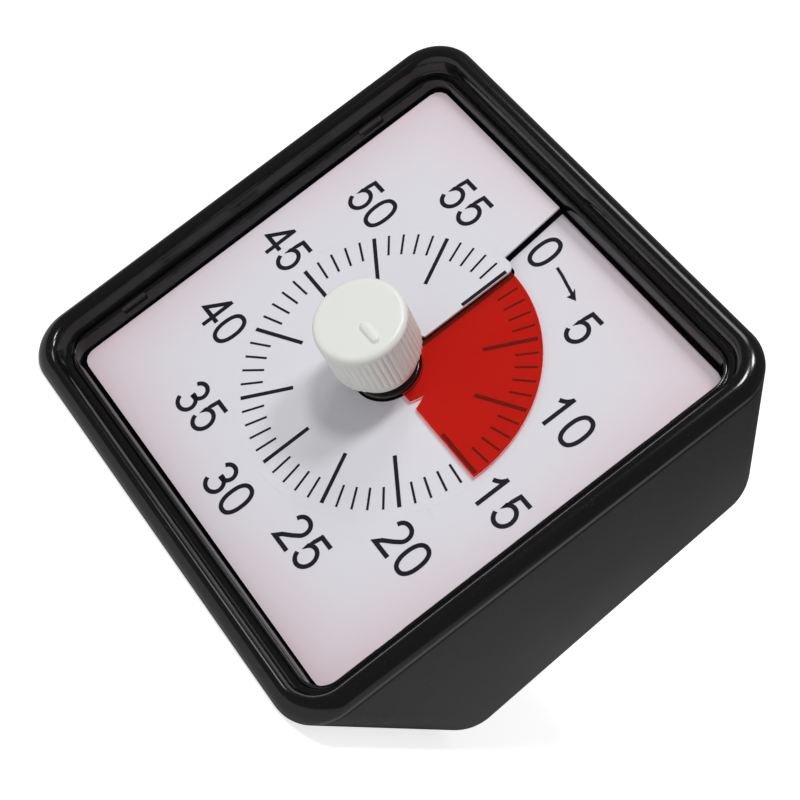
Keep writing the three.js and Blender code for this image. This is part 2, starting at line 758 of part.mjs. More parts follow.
function movementTray(floorLow, floorHigh, rimZ, bearingZ) {
  const { left, right, bottom, top, corner } = movementBox;
  const outer = roundedLoop(left, right, bottom, top, corner, 5);
  const w = movementWall;
  const inner = roundedLoop(left + w, right - w, bottom + w, top - w, corner - w, 5);
  const floor = prism(outer, floorLow, floorHigh);
  const wallLow = Math.min(rimZ, floorLow + 0.1);
  const wallHigh = Math.max(rimZ, floorHigh - 0.1);
  const wall = prism(outer, wallLow, wallHigh, [inner]);
  const socketLow = Math.min(bearingZ, floorHigh - 0.1);
  const socketHigh = Math.max(bearingZ, floorLow + 0.1);
  const sockets = [thirdAxis, rotorAxis].map(([x, y]) => (
    tubeRing(x, y, 1.3, arborRadius + fitGap, socketLow, socketHigh, 16)
  ));
  return { floor, parts: [wall, ...sockets] };
}

const movementSplit = movementFront - 3.3;
const movementEars = [];
for (const y of [ear.upper, ear.lower]) {
  movementEars.push([movementBox.left - ear.out, y], [movementBox.right + ear.out, y]);
}

function ears(low, high, reach) {
  return movementEars.map(([x, y]) => {
    const toward = x < 0 ? movementBox.left + 0.5 : movementBox.right - 0.5;
    const edge = x < 0 ? x - reach : x + reach;
    const left = Math.min(edge, toward);
    const right = Math.max(edge, toward);
    return prism(roundedLoop(left, right, y - ear.half, y + ear.half, ear.half / 2, 3), low, high);
  });
}

function movementCaseFront() {
  const tray = movementTray(movementFront - movementWall, movementFront, movementSplit,
    movementFront - movementWall - socketHeight);
  const boreRadius = spindleRadius + runGap;
  const bush = tubeRing(0, 0, bushRadius, boreRadius, movementFront - 0.5, carrierFront - 0.1, 28);
  const bore = cylinder(0, 0, boreRadius, movementFront - 3, carrierFront + 1, 28);
  const tabs = ears(movementFront - ear.thickness, movementFront, ear.half);
  const holes = movementEars.map(([x, y]) => (
    cylinder(x, y, screw.radius + fitGap, movementFront - 4, movementFront + 1, 16)
  ));
  return combine(tray.floor, [...tray.parts, bush, ...tabs], [bore, ...holes]);
}

function movementCaseRear() {
  const tray = movementTray(movementBack, movementBack + movementWall, movementSplit - seamGap,
    movementBack + movementWall + socketHeight);
  return combine(tray.floor, tray.parts, []);
}

// Screws are drawn with the underside of the head at z = 0 and the shank towards +z.
function movementScrew() {
  const tip = ear.thickness + carrierBack - movementFront;
  return lathe([
    [0, -1.3], [1.7, -1.3], [2.0, -1.0], [2.0, 0], [screw.radius, 0], [screw.radius, tip], [0, tip],
  ], 20);
}

function caseScrew() {
  const { radius, headRadius, headHeight, length } = screw;
  const body = lathe([
    [0, -headHeight], [headRadius - 0.5, -headHeight], [headRadius, 0.5 - headHeight], [headRadius, 0],
    [radius, 0], [radius, length - 0.9], [0.2, length], [0, length],
  ], 20);
  const arm = headRadius * 0.62;
  const crossA = box(-arm, arm, -0.3, 0.3, -headHeight - 1, 0.8 - headHeight);
  const crossB = box(-0.3, 0.3, -arm, arm, -headHeight - 1, 0.8 - headHeight);
  return combine(body, [], [crossA, crossB]);
}

// ========================================================================================================
// Battery, door, buzzer and switch
// ========================================================================================================
// These are drawn in the rear face's own axes.
function batteryCell() {
  const r = cellRadius;
  const end = cellLength - 1.1;
  return lathe([
    [0, 0], [r - 1.2, 0], [r - 0.6, 0.25], [r - 0.1, 0.7], [r - 0.05, 1.2], [r - 0.05, end - 1.2],
    [r - 0.15, end - 0.5], [r - 0.8, end], [2.75, end], [2.7, end + 0.9], [2.4, cellLength], [0, cellLength],
  ], 36);
}

function springPath() {
  const points = [];
  const turns = 3.2;
  const steps = 44;
  const length = springSpace - 1;
  for (let i = 0; i <= steps; i += 1) {
    const share = i / steps;
    const a = 2 * Math.PI * turns * share;
    const radius = 4.6 - 1.8 * share;
    points.push(new THREE.Vector3(length * share, radius * Math.cos(a), radius * Math.sin(a)));
  }
  return new THREE.CatmullRomCurve3(points);
}

function batterySpring() {
  const wire = outline(circlePoints(0, 0, 0.3, 6));
  return new THREE.ExtrudeGeometry(wire, { steps: 60, extrudePath: springPath() });
}

// Contact plate with a pressed dimple towards the cell, drawn with its thickness along z.
function batteryContact() {
  const dimple = lathe([[0, 0.1], [2.2, 0.1], [1.6, -0.5], [0, -0.6]].reverse(), 20);
  return combine(box(-5, 5, -5, 5, 0, 0.3), [dimple], []);
}

function batteryDoor() {
  const plate = prism(doorOutline(0), 0, doorThickness);
  const removed = [];
  for (let i = 0; i < 5; i += 1) {
    const y = cellCentre + 5.4 - i * 1.2;
    removed.push(box(-7, 7, y - 0.25, y + 0.25, -1, 0.4));
  }
  return combine(plate, [], removed);
}

function piezoDisc() {
  const { radius, thickness } = buzzer;
  const ceramic = { radius: radius * 0.72, top: thickness + 0.25 };
  return lathe([
    [0, 0], [radius, 0], [radius, thickness], [ceramic.radius, thickness], [ceramic.radius, ceramic.top],
    [0, ceramic.top],
  ], 40);
}

// The lever and the block it slides in are drawn about the lever's rest place, at the rear wall's inner face.
function switchBody() {
  const { halfLength, halfWidth, height } = switchBlock;
  const middle = lever.travel / 2;
  const top = seamGap + height;
  const block = box(middle - halfLength, middle + halfLength, -halfWidth, halfWidth, seamGap, top);
  const reach = lever.width / 2 + lever.foot + seamGap;
  const groove = box(-reach, lever.travel + reach, -2, 2, seamGap - 1, seamGap + 1.6);
  return combine(block, [], [groove]);
}

function switchLever() {
  const w = lever.width / 2;
  const h = lever.height / 2;
  const stem = box(-w, w, -h, h, 0.25 - rearWall, seamGap + 0.6);
  const foot = box(-w - lever.foot, w + lever.foot, -1.7, 1.7, 2 * seamGap, 2 * seamGap + 1);
  const cuts = [-0.8, 0, 0.8].map((x) => box(x - 0.15, x + 0.15, -2, 2, -rearWall - 1, 0.6 - rearWall));
  return combine(stem, [foot], cuts);
}

// ========================================================================================================
// Assembly
// ========================================================================================================
function finish(color, roughness, metalness = 0) {
  return new THREE.MeshStandardMaterial({ color, roughness, metalness });
}

const gloss = finish(0x16161a, 0.3);
const matt = finish(0x333336, 0.6);
const white = finish(0xe6e3e8, 0.5);
const brass = finish(0xb9974a, 0.35, 0.9);
const steel = finish(0xa9abad, 0.35, 0.9);
const grey = finish(0x8f9296, 0.5);

const ivory = finish(0xf1ede0, 0.45);
const movementBlack = finish(0x24262b, 0.5);

function add(group, name, geometry, material, position = [0, 0, 0], rotation = [0, 0, 0]) {
  const clean = weld(geometry);
  clean.computeVertexNormals();
  const mesh = new THREE.Mesh(clean, material);
  mesh.name = name;
  mesh.position.set(...position);
  mesh.rotation.set(...rotation);
  group.add(mesh);
}

function movementGroup() {
  const group = new THREE.Group();
  const [rotorX, rotorY] = rotorAxis;
  const boardX = boardRight - board.width / 2;
  const crystalZ = boardBack - crystal.radius - 0.15;
  const legX = rotorX + statorRight - stator.leg / 2;
  const screwSeat = movementFront - ear.thickness - seatGap;
  add(group, 'spindle', spindle(), steel);
  add(group, 'movement_case_front', movementCaseFront(), movementBlack);
  add(group, 'movement_case_rear', movementCaseRear(), movementBlack);
  add(group, 'centre_wheel', centreWheel(), ivory);
  add(group, 'third_wheel', thirdWheel(), ivory, [...thirdAxis, 0]);
  add(group, 'rotor', rotor(), grey, [rotorX, rotorY, 0]);
  add(group, 'stator', statorPlate(), steel, [rotorX, rotorY, statorLevel]);
  add(group, 'coil', coil(), finish(0xa85a28, 0.4, 0.4), [legX, rotorY, statorLevel], [Math.PI / 2, 0, 0]);
  add(group, 'circuit_board', circuitBoard(), finish(0x1f5a34, 0.5), [boardX, boardLow, boardBack]);
  add(group, 'quartz_crystal', cylinder(0, 0, crystal.radius, 0, crystal.length, 16), steel,
    [boardX - crystal.length / 2, boardLow + 3.2, crystalZ], [0, Math.PI / 2, 0]);
  movementEars.forEach(([x, y], i) => {
    add(group, `movement_screw_${i + 1}`, movementScrew(), steel, [x, y, screwSeat]);
  });
  return group;
}

function rearFaceGroup() {
  const group = new THREE.Group();
  group.position.z = -rearDepth;
  group.rotation.x = Math.atan(rearSlope);
  const left = -bayHalfLength;
  const turned = [0, Math.PI / 2, 0];
  add(group, 'battery_cell', batteryCell(), finish(0x3d5f9c, 0.35, 0.3),
    [left + springSpace, cellCentre, cellDepth], turned);
  add(group, 'battery_spring', batterySpring(), steel, [left + 0.55, cellCentre, cellDepth]);
  add(group, 'battery_contact', batteryContact(), steel,
    [bayHalfLength - 0.55, cellCentre, cellDepth], turned);
  add(group, 'battery_door', batteryDoor(), matt);
  add(group, 'piezo_disc', piezoDisc(), brass, [buzzer.x, buzzer.y, rearWall + buzzer.lap + 0.2]);
  add(group, 'switch_body', switchBody(), gloss, [lever.x, lever.y, rearWall]);
  add(group, 'switch_lever', switchLever(), finish(0xd8d8d4, 0.5), [lever.x, lever.y, rearWall]);
  return group;
}

function timerGroup() {
  const group = new THREE.Group();
  const knobTurn = Math.PI / 2 - (2 * Math.PI * setMinutes) / 60;
  add(group, 'front_bezel', frontBezel(), gloss);
  add(group, 'rear_housing', rearHousing(), matt);
  add(group, 'dial_sheet', dialSheet(), white);
  add(group, 'dial_carrier', dialCarrier(), matt);
  add(group, 'red_film', redFilm(), finish(0xc42a1e, 0.35));
  add(group, 'film_collar', filmCollar(), gloss);
  add(group, 'knob', knob(), finish(0xecefe8, 0.35), [0, 0, 0], [0, 0, knobTurn]);
  screwSites().forEach(([x, y], i) => {
    add(group, `case_screw_${i + 1}`, caseScrew(), steel, [x, y, seatZ(y) - seatGap]);
  });
  group.add(movementGroup(), rearFaceGroup());
  group.rotation.x = THREE.MathUtils.degToRad(90 - undersideAngle);
  return group;
}

// Stands the leaning timer on z = 0, centred over the origin.
function standing(group) {
  const bounds = new THREE.Box3().setFromObject(group, true);
  const centre = bounds.getCenter(new THREE.Vector3());
  group.position.set(-centre.x, -centre.y, -bounds.min.z);
  const part = new THREE.Group();
  part.add(group);
  return part;
}

export default standing(timerGroup());
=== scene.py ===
import math
import bmesh
import bpy
from mathutils import Matrix, Vector
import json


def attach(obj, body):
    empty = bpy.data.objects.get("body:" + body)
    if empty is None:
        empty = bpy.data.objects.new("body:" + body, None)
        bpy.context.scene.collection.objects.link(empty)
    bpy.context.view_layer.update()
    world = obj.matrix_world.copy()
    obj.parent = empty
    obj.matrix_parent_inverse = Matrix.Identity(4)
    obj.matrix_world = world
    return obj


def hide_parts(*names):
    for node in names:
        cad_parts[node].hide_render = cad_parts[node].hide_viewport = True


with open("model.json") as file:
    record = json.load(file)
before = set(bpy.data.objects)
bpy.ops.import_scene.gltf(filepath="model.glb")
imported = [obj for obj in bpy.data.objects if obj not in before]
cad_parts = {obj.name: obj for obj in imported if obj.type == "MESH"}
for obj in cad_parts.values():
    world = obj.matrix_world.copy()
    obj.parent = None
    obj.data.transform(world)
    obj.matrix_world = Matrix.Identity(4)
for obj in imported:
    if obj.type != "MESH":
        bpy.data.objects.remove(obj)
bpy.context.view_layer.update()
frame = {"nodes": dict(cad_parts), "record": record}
print("frame loaded:", len(frame["nodes"]), "nodes")

mm = 0.001
joints = {joint["name"]: joint for joint in frame["record"]["behaviour"]["joints"]}
mounts = {mount["name"]: mount for mount in frame["record"]["mounts"]}

# the dial's own axes: x to the right, y up the dial, z out of it
dialCentre = Vector(joints["knob_turn"]["pos_m"])
dialOut = -Vector(joints["knob_turn"]["axis"]).normalized()
acrossDial = Vector((1, 0, 0))
upDial = dialOut.cross(acrossDial)
dialFrame = Matrix((acrossDial, upDial, dialOut)).transposed().to_4x4()
dialFrame.translation = dialCentre

# the rear face's axes: z points into the case
rearOut = Vector(joints["door_pull"]["axis"]).normalized()
rearGap = (Vector(mounts["rear_face"]["pos_m"]) - dialCentre).dot(rearOut) / -dialOut.dot(rearOut)
rearFrame = Matrix((acrossDial, (-rearOut).cross(acrossDial), -rearOut)).transposed().to_4x4()
rearFrame.translation = dialCentre - dialOut * rearGap
rearToDial = dialFrame.inverted() @ rearFrame
rearDepth = rearGap / mm

fullTurn = 2 * math.pi
helixPitch = 1.45  # how far the dial sheet and the film climb in one turn


# small helpers for points and meshes, all in millimetres until the mesh is made
def rise(angle):
    return helixPitch * (angle / fullTurn - 0.5)


def polar(radius, angle, height):
    return (radius * math.sin(angle), radius * math.cos(angle), height)


def roundedLoop(left, right, low, high, corner, steps=14):
    points = []
    for x, y, start in (
        (right - corner, high - corner, 0), (left + corner, high - corner, 90),
        (left + corner, low + corner, 180), (right - corner, low + corner, 270),
    ):
        for k in range(steps + 1):
            turn = math.radians(start + 90 * k / steps)
            points.append((x + corner * math.cos(turn), y + corner * math.sin(turn)))
    return points


def lofted(loops, capped=True):
    count = len(loops[0])
    points = [point for loop in loops for point in loop]
    faces = []
    for row in range(len(loops) if not capped else len(loops) - 1):
        a = row * count
        b = (row + 1) % len(loops) * count
        for k in range(count):
            n = (k + 1) % count
            faces.append((a + k, a + n, b + n, b + k))
    if capped:
        faces.append(tuple(range(count - 1, -1, -1)))
        faces.append(tuple(range(len(points) - count, len(points))))
    return points, faces


def turned(section, steps=64, wave=None):
    loops = []
    for radius, height in section:
        loop = []
        for k in range(steps):
            turn = fullTurn * k / steps
            grown = radius + (wave(turn, radius, height) if wave else 0)
            loop.append((grown * math.cos(turn), grown * math.sin(turn), height))
        loops.append(loop)
    return loops


def slabLoops(left, right, low, high, bottom, top, corner, edge, steps=6):
    sharpest = 0.05
    levels = []
    for turn in (0, 30, 60, 90):
        a = math.radians(turn)
        levels.append((edge * (1 - math.sin(a)), edge * (1 - math.cos(a))))
    loops = []
    for shrink, height in [(shrink, bottom + up) for shrink, up in levels] + [
        (shrink, top - up) for shrink, up in reversed(levels)
    ]:
        radius = max(corner - shrink, sharpest)
        flat = roundedLoop(left + shrink, right - shrink, low + shrink, high - shrink, radius, steps)
        loops.append([(x, y, height) for x, y in flat])
    return loops


def onRear(points):
    return [tuple((rearToDial @ (Vector(point) * mm)) / mm) for point in points]


def placeObject(name, data):
    placed = bpy.data.objects.new(name, data)
    bpy.context.scene.collection.objects.link(placed)
    return placed


# points are in the dial's axes; the mesh is placed where it stands
def makePiece(name, points, faces):
    mesh = bpy.data.meshes.new(name)
    mesh.from_pydata([dialFrame @ (Vector(point) * mm) for point in points], [], faces)
    sculpt = bmesh.new()
    sculpt.from_mesh(mesh)
    bmesh.ops.remove_doubles(sculpt, verts=sculpt.verts, dist=0.0001 * mm)
    bmesh.ops.recalc_face_normals(sculpt, faces=sculpt.faces)
    sculpt.to_mesh(mesh)
    sculpt.free()
    return placeObject(name, mesh)


def makeTool(loops):
    return makePiece("tool", *lofted(loops))


# cuts or joins other pieces, and settles any modifier already on the piece
def shape(piece, others, operation):
    for other in others:
        step = piece.modifiers.new("shape", "BOOLEAN")
        step.operation = operation
        step.object = other
        step.solver = "EXACT"
    bpy.context.view_layer.update()
    settled = piece.evaluated_get(bpy.context.evaluated_depsgraph_get())
    result = bpy.data.meshes.new_from_object(settled)
    piece.modifiers.clear()
    piece.data = result
    for other in others:
        bpy.data.objects.remove(other)


def finishPiece(piece, body, material, stands=(), angle=38):
    mesh = piece.data
    mesh.materials.clear()
    mesh.materials.append(material)
    mesh.polygons.foreach_set("use_smooth", [True] * len(mesh.polygons))
    mesh.set_sharp_from_angle(angle=math.radians(angle))
    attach(piece, body)
    if stands:
        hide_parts(*stands)


# shared effects, built once as node groups; every input and output is one number for each point
def newGroup(name, inputs, outputs):
    group = bpy.data.node_groups.new(name, "ShaderNodeTree")
    for label, value in inputs.items():
        socket = group.interface.new_socket(label, in_out="INPUT", socket_type="NodeSocketFloat")
        socket.default_value = value
    for label in outputs:
        group.interface.new_socket(label, in_out="OUTPUT", socket_type="NodeSocketFloat")
    enter = group.nodes.new("NodeGroupInput")
    leave = group.nodes.new("NodeGroupOutput")
    return group, enter.outputs, leave.inputs


def addNode(tree, kind, **settings):
    node = tree.nodes.new(kind)
    for key, value in settings.items():
        setattr(node, key, value)
    return node


# sets a socket to a number or a colour, or links it to another node's output
def feed(tree, socket, value):
    if isinstance(value, (int, float)):
        socket.default_value = value
    elif isinstance(value, tuple):
        socket.default_value = (*value, 1)
    else:
        tree.links.new(value, socket)


def mathNode(tree, operation, first, second=None, clamp=False):
    node = addNode(tree, "ShaderNodeMath", operation=operation, use_clamp=clamp)
    feed(tree, node.inputs[0], first)
    if second is not None:
        feed(tree, node.inputs[1], second)
    return node.outputs[0]


def noiseNode(tree, place, scale, detail):
    noise = addNode(tree, "ShaderNodeTexNoise")
    tree.links.new(place.outputs["Object"], noise.inputs["Vector"])
    feed(tree, noise.inputs["Scale"], scale)
    noise.inputs["Detail"].default_value = detail
    return noise.outputs["Fac"]


# what lies above a level, made steeper and held between 0 and 1
def above(tree, value, level, steepness):
    return mathNode(tree, "MULTIPLY", mathNode(tree, "SUBTRACT", value, level), steepness, True)


def mouldedGrainGroup():
    group, enter, leave = newGroup("mouldedGrain", {"Fineness": 3000, "Unevenness": 0.5}, ("Height", "Shade"))
    place = addNode(group, "ShaderNodeTexCoord")
    fine = noiseNode(group, place, enter["Fineness"], 3)
    broad = noiseNode(group, place, 90, 4)
    cells = addNode(group, "ShaderNodeTexVoronoi", feature="SMOOTH_F1")
    group.links.new(place.outputs["Object"], cells.inputs["Vector"])
    group.links.new(mathNode(group, "MULTIPLY", enter["Fineness"], 0.6), cells.inputs["Scale"])
    pits = mathNode(group, "MULTIPLY", cells.outputs["Distance"], 0.5)
    group.links.new(mathNode(group, "ADD", fine, pits), leave["Height"])
    spread = mathNode(group, "MULTIPLY", mathNode(group, "SUBTRACT", broad, 0.5), enter["Unevenness"])
    group.links.new(mathNode(group, "ADD", spread, 0.5, True), leave["Shade"])
    return group


def edgeWearGroup():
    group, enter, leave = newGroup("edgeWear", {"Amount": 0.5, "Breakup": 600}, ("Mask",))
    place = addNode(group, "ShaderNodeTexCoord")
    surface = addNode(group, "ShaderNodeNewGeometry")
    crest = above(group, surface.outputs["Pointiness"], 0.53, 9)  # a flat place has 0.5
    rough = above(group, noiseNode(group, place, enter["Breakup"], 5), 0.42, 5)
    worn = mathNode(group, "MULTIPLY", crest, rough)
    group.links.new(mathNode(group, "MULTIPLY", worn, enter["Amount"], True), leave["Mask"])
    return group


def fineDustGroup():
    group, enter, leave = newGroup("fineDust", {"Amount": 0.3, "Speck size": 2200}, ("Mask",))
    place = addNode(group, "ShaderNodeTexCoord")
    dots = above(group, noiseNode(group, place, enter["Speck size"], 2), 0.66, 12)
    patches = mathNode(group, "MULTIPLY", dots, noiseNode(group, place, 60, 2))
    group.links.new(mathNode(group, "MULTIPLY", patches, enter["Amount"], True), leave["Mask"])
    return group


# the edge output is a painted pinkish shade that grows towards the dial's edges and corners; Fibre is the
# paper's own grain
def paperToneGroup():
    group, enter, leave = newGroup("paperGrainAndEdgeShade", {"Reach": 0.034, "Softness": 0.016}, ("EdgeShade", "Fibre"))
    place = addNode(group, "ShaderNodeTexCoord")
    along = []
    for way in (acrossDial, upDial):
        reach = addNode(group, "ShaderNodeVectorMath", operation="DOT_PRODUCT")
        group.links.new(place.outputs["Object"], reach.inputs[0])
        reach.inputs[1].default_value = way
        offset = mathNode(group, "SUBTRACT", reach.outputs["Value"], dialCentre.dot(way))
        along.append(mathNode(group, "ABSOLUTE", offset))
    corner = mathNode(group, "MULTIPLY", mathNode(group, "MINIMUM", *along), 0.2)
    outer = mathNode(group, "ADD", mathNode(group, "MAXIMUM", *along), corner)
    start = mathNode(group, "SUBTRACT", enter["Reach"], enter["Softness"])
    past = mathNode(group, "SUBTRACT", outer, start)
    group.links.new(mathNode(group, "DIVIDE", past, enter["Softness"], True), leave["EdgeShade"])
    group.links.new(noiseNode(group, place, 900, 6), leave["Fibre"])
    return group


mouldedGrain = mouldedGrainGroup()
edgeWear = edgeWearGroup()
fineDust = fineDustGroup()
paperGrainAndEdgeShade = paperToneGroup()
print("effects ready")


# a group's input names may hold spaces, which are written here as underscores
def placeGroup(tree, group, **values):
    node = addNode(tree, "ShaderNodeGroup", node_tree=group)
    for label, value in values.items():
        node.inputs[label.replace("_", " ")].default_value = value
    return node


def colourBlend(tree, mask, first, second):
    node = addNode(tree, "ShaderNodeMix", data_type="RGBA")
    tree.links.new(mask, node.inputs["Factor"])
    feed(tree, node.inputs["A"], first)
    feed(tree, node.inputs["B"], second)
    return node.outputs["Result"]


def startMaterial(name):
    material = bpy.data.materials.new(name)
    material.use_nodes = True
    tree = material.node_tree
    shader = tree.nodes["Principled BSDF"]
    return material, tree, shader


def varyRoughness(tree, shader, shade, spread, rough):
    swing = mathNode(tree, "MULTIPLY", shade, spread)
    tree.links.new(mathNode(tree, "ADD", swing, rough), shader.inputs["Roughness"])


# a bump from a height, with its greatest depth in millimetres
def addBump(tree, shader, height, strength, depth):
    bump = addNode(tree, "ShaderNodeBump")
    bump.inputs["Strength"].default_value = strength
    bump.inputs["Distance"].default_value = depth * mm
    tree.links.new(height, bump.inputs["Height"])
    tree.links.new(bump.outputs["Normal"], shader.inputs["Normal"])


dustShade = (0.55, 0.53, 0.5)


# a moulded or plated finish: two close shades, a grain, pale worn edges and a little dust
def surfaceMaterial(name, finish):
    material, tree, shader = startMaterial(name)
    grain = placeGroup(tree, mouldedGrain, Fineness=finish["fineness"], Unevenness=finish["uneven"])
    wear = placeGroup(tree, edgeWear, Amount=finish["wear"], Breakup=700)
    dust = placeGroup(tree, fineDust, Amount=finish["dust"], Speck_size=2400)
    base = colourBlend(tree, grain.outputs["Shade"], finish["dark"], finish["light"])
    worn = colourBlend(tree, wear.outputs["Mask"], base, finish["worn"])
    tree.links.new(colourBlend(tree, dust.outputs["Mask"], worn, dustShade), shader.inputs["Base Color"])
    swing = mathNode(tree, "SUBTRACT", grain.outputs["Shade"], 0.5)
    spread = mathNode(tree, "MULTIPLY", swing, finish["roughSpread"])
    rough = mathNode(tree, "ADD", spread, finish["rough"])
    tree.links.new(mathNode(tree, "ADD", rough, dust.outputs["Mask"], True), shader.inputs["Roughness"])
    addBump(tree, shader, grain.outputs["Height"], finish["bump"], 0.03)
    shader.inputs["Metallic"].default_value = finish.get("metal", 0)
    shader.inputs["Coat Weight"].default_value = finish.get("coat", 0)
    shader.inputs["Coat Roughness"].default_value = 0.1
    shader.inputs["Specular IOR Level"].default_value = finish.get("gloss", 0.5)
    return material


finishes = {
    "glossBlack": {
        "dark": (0.0025, 0.0025, 0.0027), "light": (0.0045, 0.0045, 0.0048), "worn": (0.05, 0.05, 0.05),
        "rough": 0.16, "roughSpread": 0.08, "fineness": 2600, "uneven": 0.6, "wear": 0.3,
        "dust": 0.05, "bump": 0.04, "coat": 0.15, "gloss": 0.4,
    },
    "mattBlack": {
        "dark": (0.012, 0.012, 0.0125), "light": (0.021, 0.021, 0.0215), "worn": (0.09, 0.09, 0.09),
        "rough": 0.5, "roughSpread": 0.16, "fineness": 3600, "uneven": 0.8, "wear": 0.03,
        "dust": 0.2, "bump": 0.5, "gloss": 0.38,
    },
    "collarBlack": {
        "dark": (0.008, 0.006, 0.006), "light": (0.016, 0.011, 0.011), "worn": (0.08, 0.06, 0.06),
        "rough": 0.16, "roughSpread": 0.1, "fineness": 2600, "uneven": 0.5, "wear": 0.2,
        "dust": 0.08, "bump": 0.04, "coat": 0.5,
    },
    "knobWhite": {
        "dark": (0.8, 0.815, 0.775), "light": (0.86, 0.87, 0.835), "worn": (0.9, 0.9, 0.87),
        "rough": 0.36, "roughSpread": 0.12, "fineness": 3000, "uneven": 0.4, "wear": 0.2,
        "dust": 0.06, "bump": 0.08, "coat": 0.08,
    },
    "platedSteel": {
        "dark": (0.46, 0.46, 0.47), "light": (0.66, 0.66, 0.65), "worn": (0.8, 0.8, 0.8),
        "rough": 0.3, "roughSpread": 0.25, "fineness": 2200, "uneven": 1.0, "wear": 0.4,
        "dust": 0.1, "bump": 0.1, "metal": 1,
    },
    "movementBlack": {
        "dark": (0.02, 0.022, 0.026), "light": (0.035, 0.038, 0.042), "worn": (0.1, 0.1, 0.1),
        "rough": 0.42, "roughSpread": 0.14, "fineness": 3200, "uneven": 0.7, "wear": 0.3,
        "dust": 0.15, "bump": 0.3,
    },
    "wheelIvory": {
        "dark": (0.66, 0.58, 0.42), "light": (0.78, 0.71, 0.55), "worn": (0.85, 0.8, 0.68),
        "rough": 0.4, "roughSpread": 0.14, "fineness": 3000, "uneven": 0.6, "wear": 0.25,
        "dust": 0.1, "bump": 0.12,
    },
    "magnetGrey": {
        "dark": (0.07, 0.07, 0.075), "light": (0.13, 0.13, 0.135), "worn": (0.25, 0.25, 0.25),
        "rough": 0.5, "roughSpread": 0.2, "fineness": 4200, "uneven": 1.0, "wear": 0.4,
        "dust": 0.1, "bump": 0.5, "metal": 0.7,
    },
    "leverGrey": {
        "dark": (0.5, 0.5, 0.48), "light": (0.6, 0.6, 0.57), "worn": (0.75, 0.75, 0.72),
        "rough": 0.42, "roughSpread": 0.14, "fineness": 3000, "uneven": 0.5, "wear": 0.25,
        "dust": 0.15, "bump": 0.2,
    },
    "soundBrass": {
        "dark": (0.5, 0.33, 0.11), "light": (0.68, 0.5, 0.22), "worn": (0.8, 0.65, 0.35),
        "rough": 0.32, "roughSpread": 0.25, "fineness": 2400, "uneven": 1.0, "wear": 0.3,
        "dust": 0.1, "bump": 0.1, "metal": 1,
    },
    "floorPale": {
        "dark": (0.86, 0.86, 0.86), "light": (0.9, 0.9, 0.9), "worn": (0.9, 0.9, 0.9),
        "rough": 0.7, "roughSpread": 0.1, "fineness": 400, "uneven": 0.2, "wear": 0,
        "dust": 0, "bump": 0.02,
    },
}
materials = {name: surfaceMaterial(name, finish) for name, finish in finishes.items()}


# finishes that only one or two pieces use
# edge is the colour of the painted pinkish shade along the dial's edges and corners
paper = {
    "reach": 0.039, "softness": 0.014, "grain": 2500, "dust": 0.08, "dark": (0.745, 0.735, 0.785),
    "light": (0.775, 0.765, 0.81), "edge": (0.77, 0.64, 0.7), "dustShade": (0.5, 0.48, 0.48), "rough": 0.48,
}


def dialMaterial():
    material, tree, shader = startMaterial("dialSheet")
    fibreAndShade = placeGroup(tree, paperGrainAndEdgeShade, Reach=paper["reach"], Softness=paper["softness"])
    grain = placeGroup(tree, mouldedGrain, Fineness=paper["grain"], Unevenness=0.5)
    dust = placeGroup(tree, fineDust, Amount=paper["dust"], Speck_size=2400)
    plain = colourBlend(tree, grain.outputs["Shade"], paper["dark"], paper["light"])
    # painted pinkish shade, blended in towards the dial's edges and corners
    soft = mathNode(tree, "POWER", fibreAndShade.outputs["EdgeShade"], 1.8)
    edgeShaded = colourBlend(tree, soft, plain, paper["edge"])
    dusty = colourBlend(tree, dust.outputs["Mask"], edgeShaded, paper["dustShade"])
    tree.links.new(dusty, shader.inputs["Base Color"])
    fibre = mathNode(tree, "SUBTRACT", fibreAndShade.outputs["Fibre"], 0.5)
    varyRoughness(tree, shader, fibre, 0.2, paper["rough"])
    addBump(tree, shader, fibreAndShade.outputs["Fibre"], 0.12, 0.03)
    shader.inputs["Specular IOR Level"].default_value = 0.35
    return material


ink = {
    "grain": 5000, "dark": (0.005, 0.005, 0.011), "light": (0.012, 0.0115, 0.02), "rough": 0.5, "gloss": 0.2,
}


def inkMaterial():
    material, tree, shader = startMaterial("printedInk")
    grain = placeGroup(tree, mouldedGrain, Fineness=ink["grain"], Unevenness=0.9)
    shade = colourBlend(tree, grain.outputs["Shade"], ink["dark"], ink["light"])
    tree.links.new(shade, shader.inputs["Base Color"])
    varyRoughness(tree, shader, grain.outputs["Height"], 0.12, ink["rough"])
    shader.inputs["Specular IOR Level"].default_value = ink["gloss"]
    addBump(tree, shader, grain.outputs["Height"], 0.1, 0.01)
    return material


# a dyed clear film: light passes through it tinted, and the dye's own share is seen on top; the edge entry is
# a pale pink painted highlight, nearly opaque
filmColours = {
    "filmRed": {
        "dark": (0.75, 0.1, 0.06), "light": (0.83, 0.13, 0.08), "clear": (0.92, 0.11, 0.085), "body": 0.11,
    },
    # pale pink painted highlight for the film's cut edge faces
    "filmEdgeHighlight": {
        "dark": (0.92, 0.7, 0.68), "light": (0.96, 0.78, 0.76), "clear": (0.9, 0.5, 0.46), "body": 0.95,
    },
}


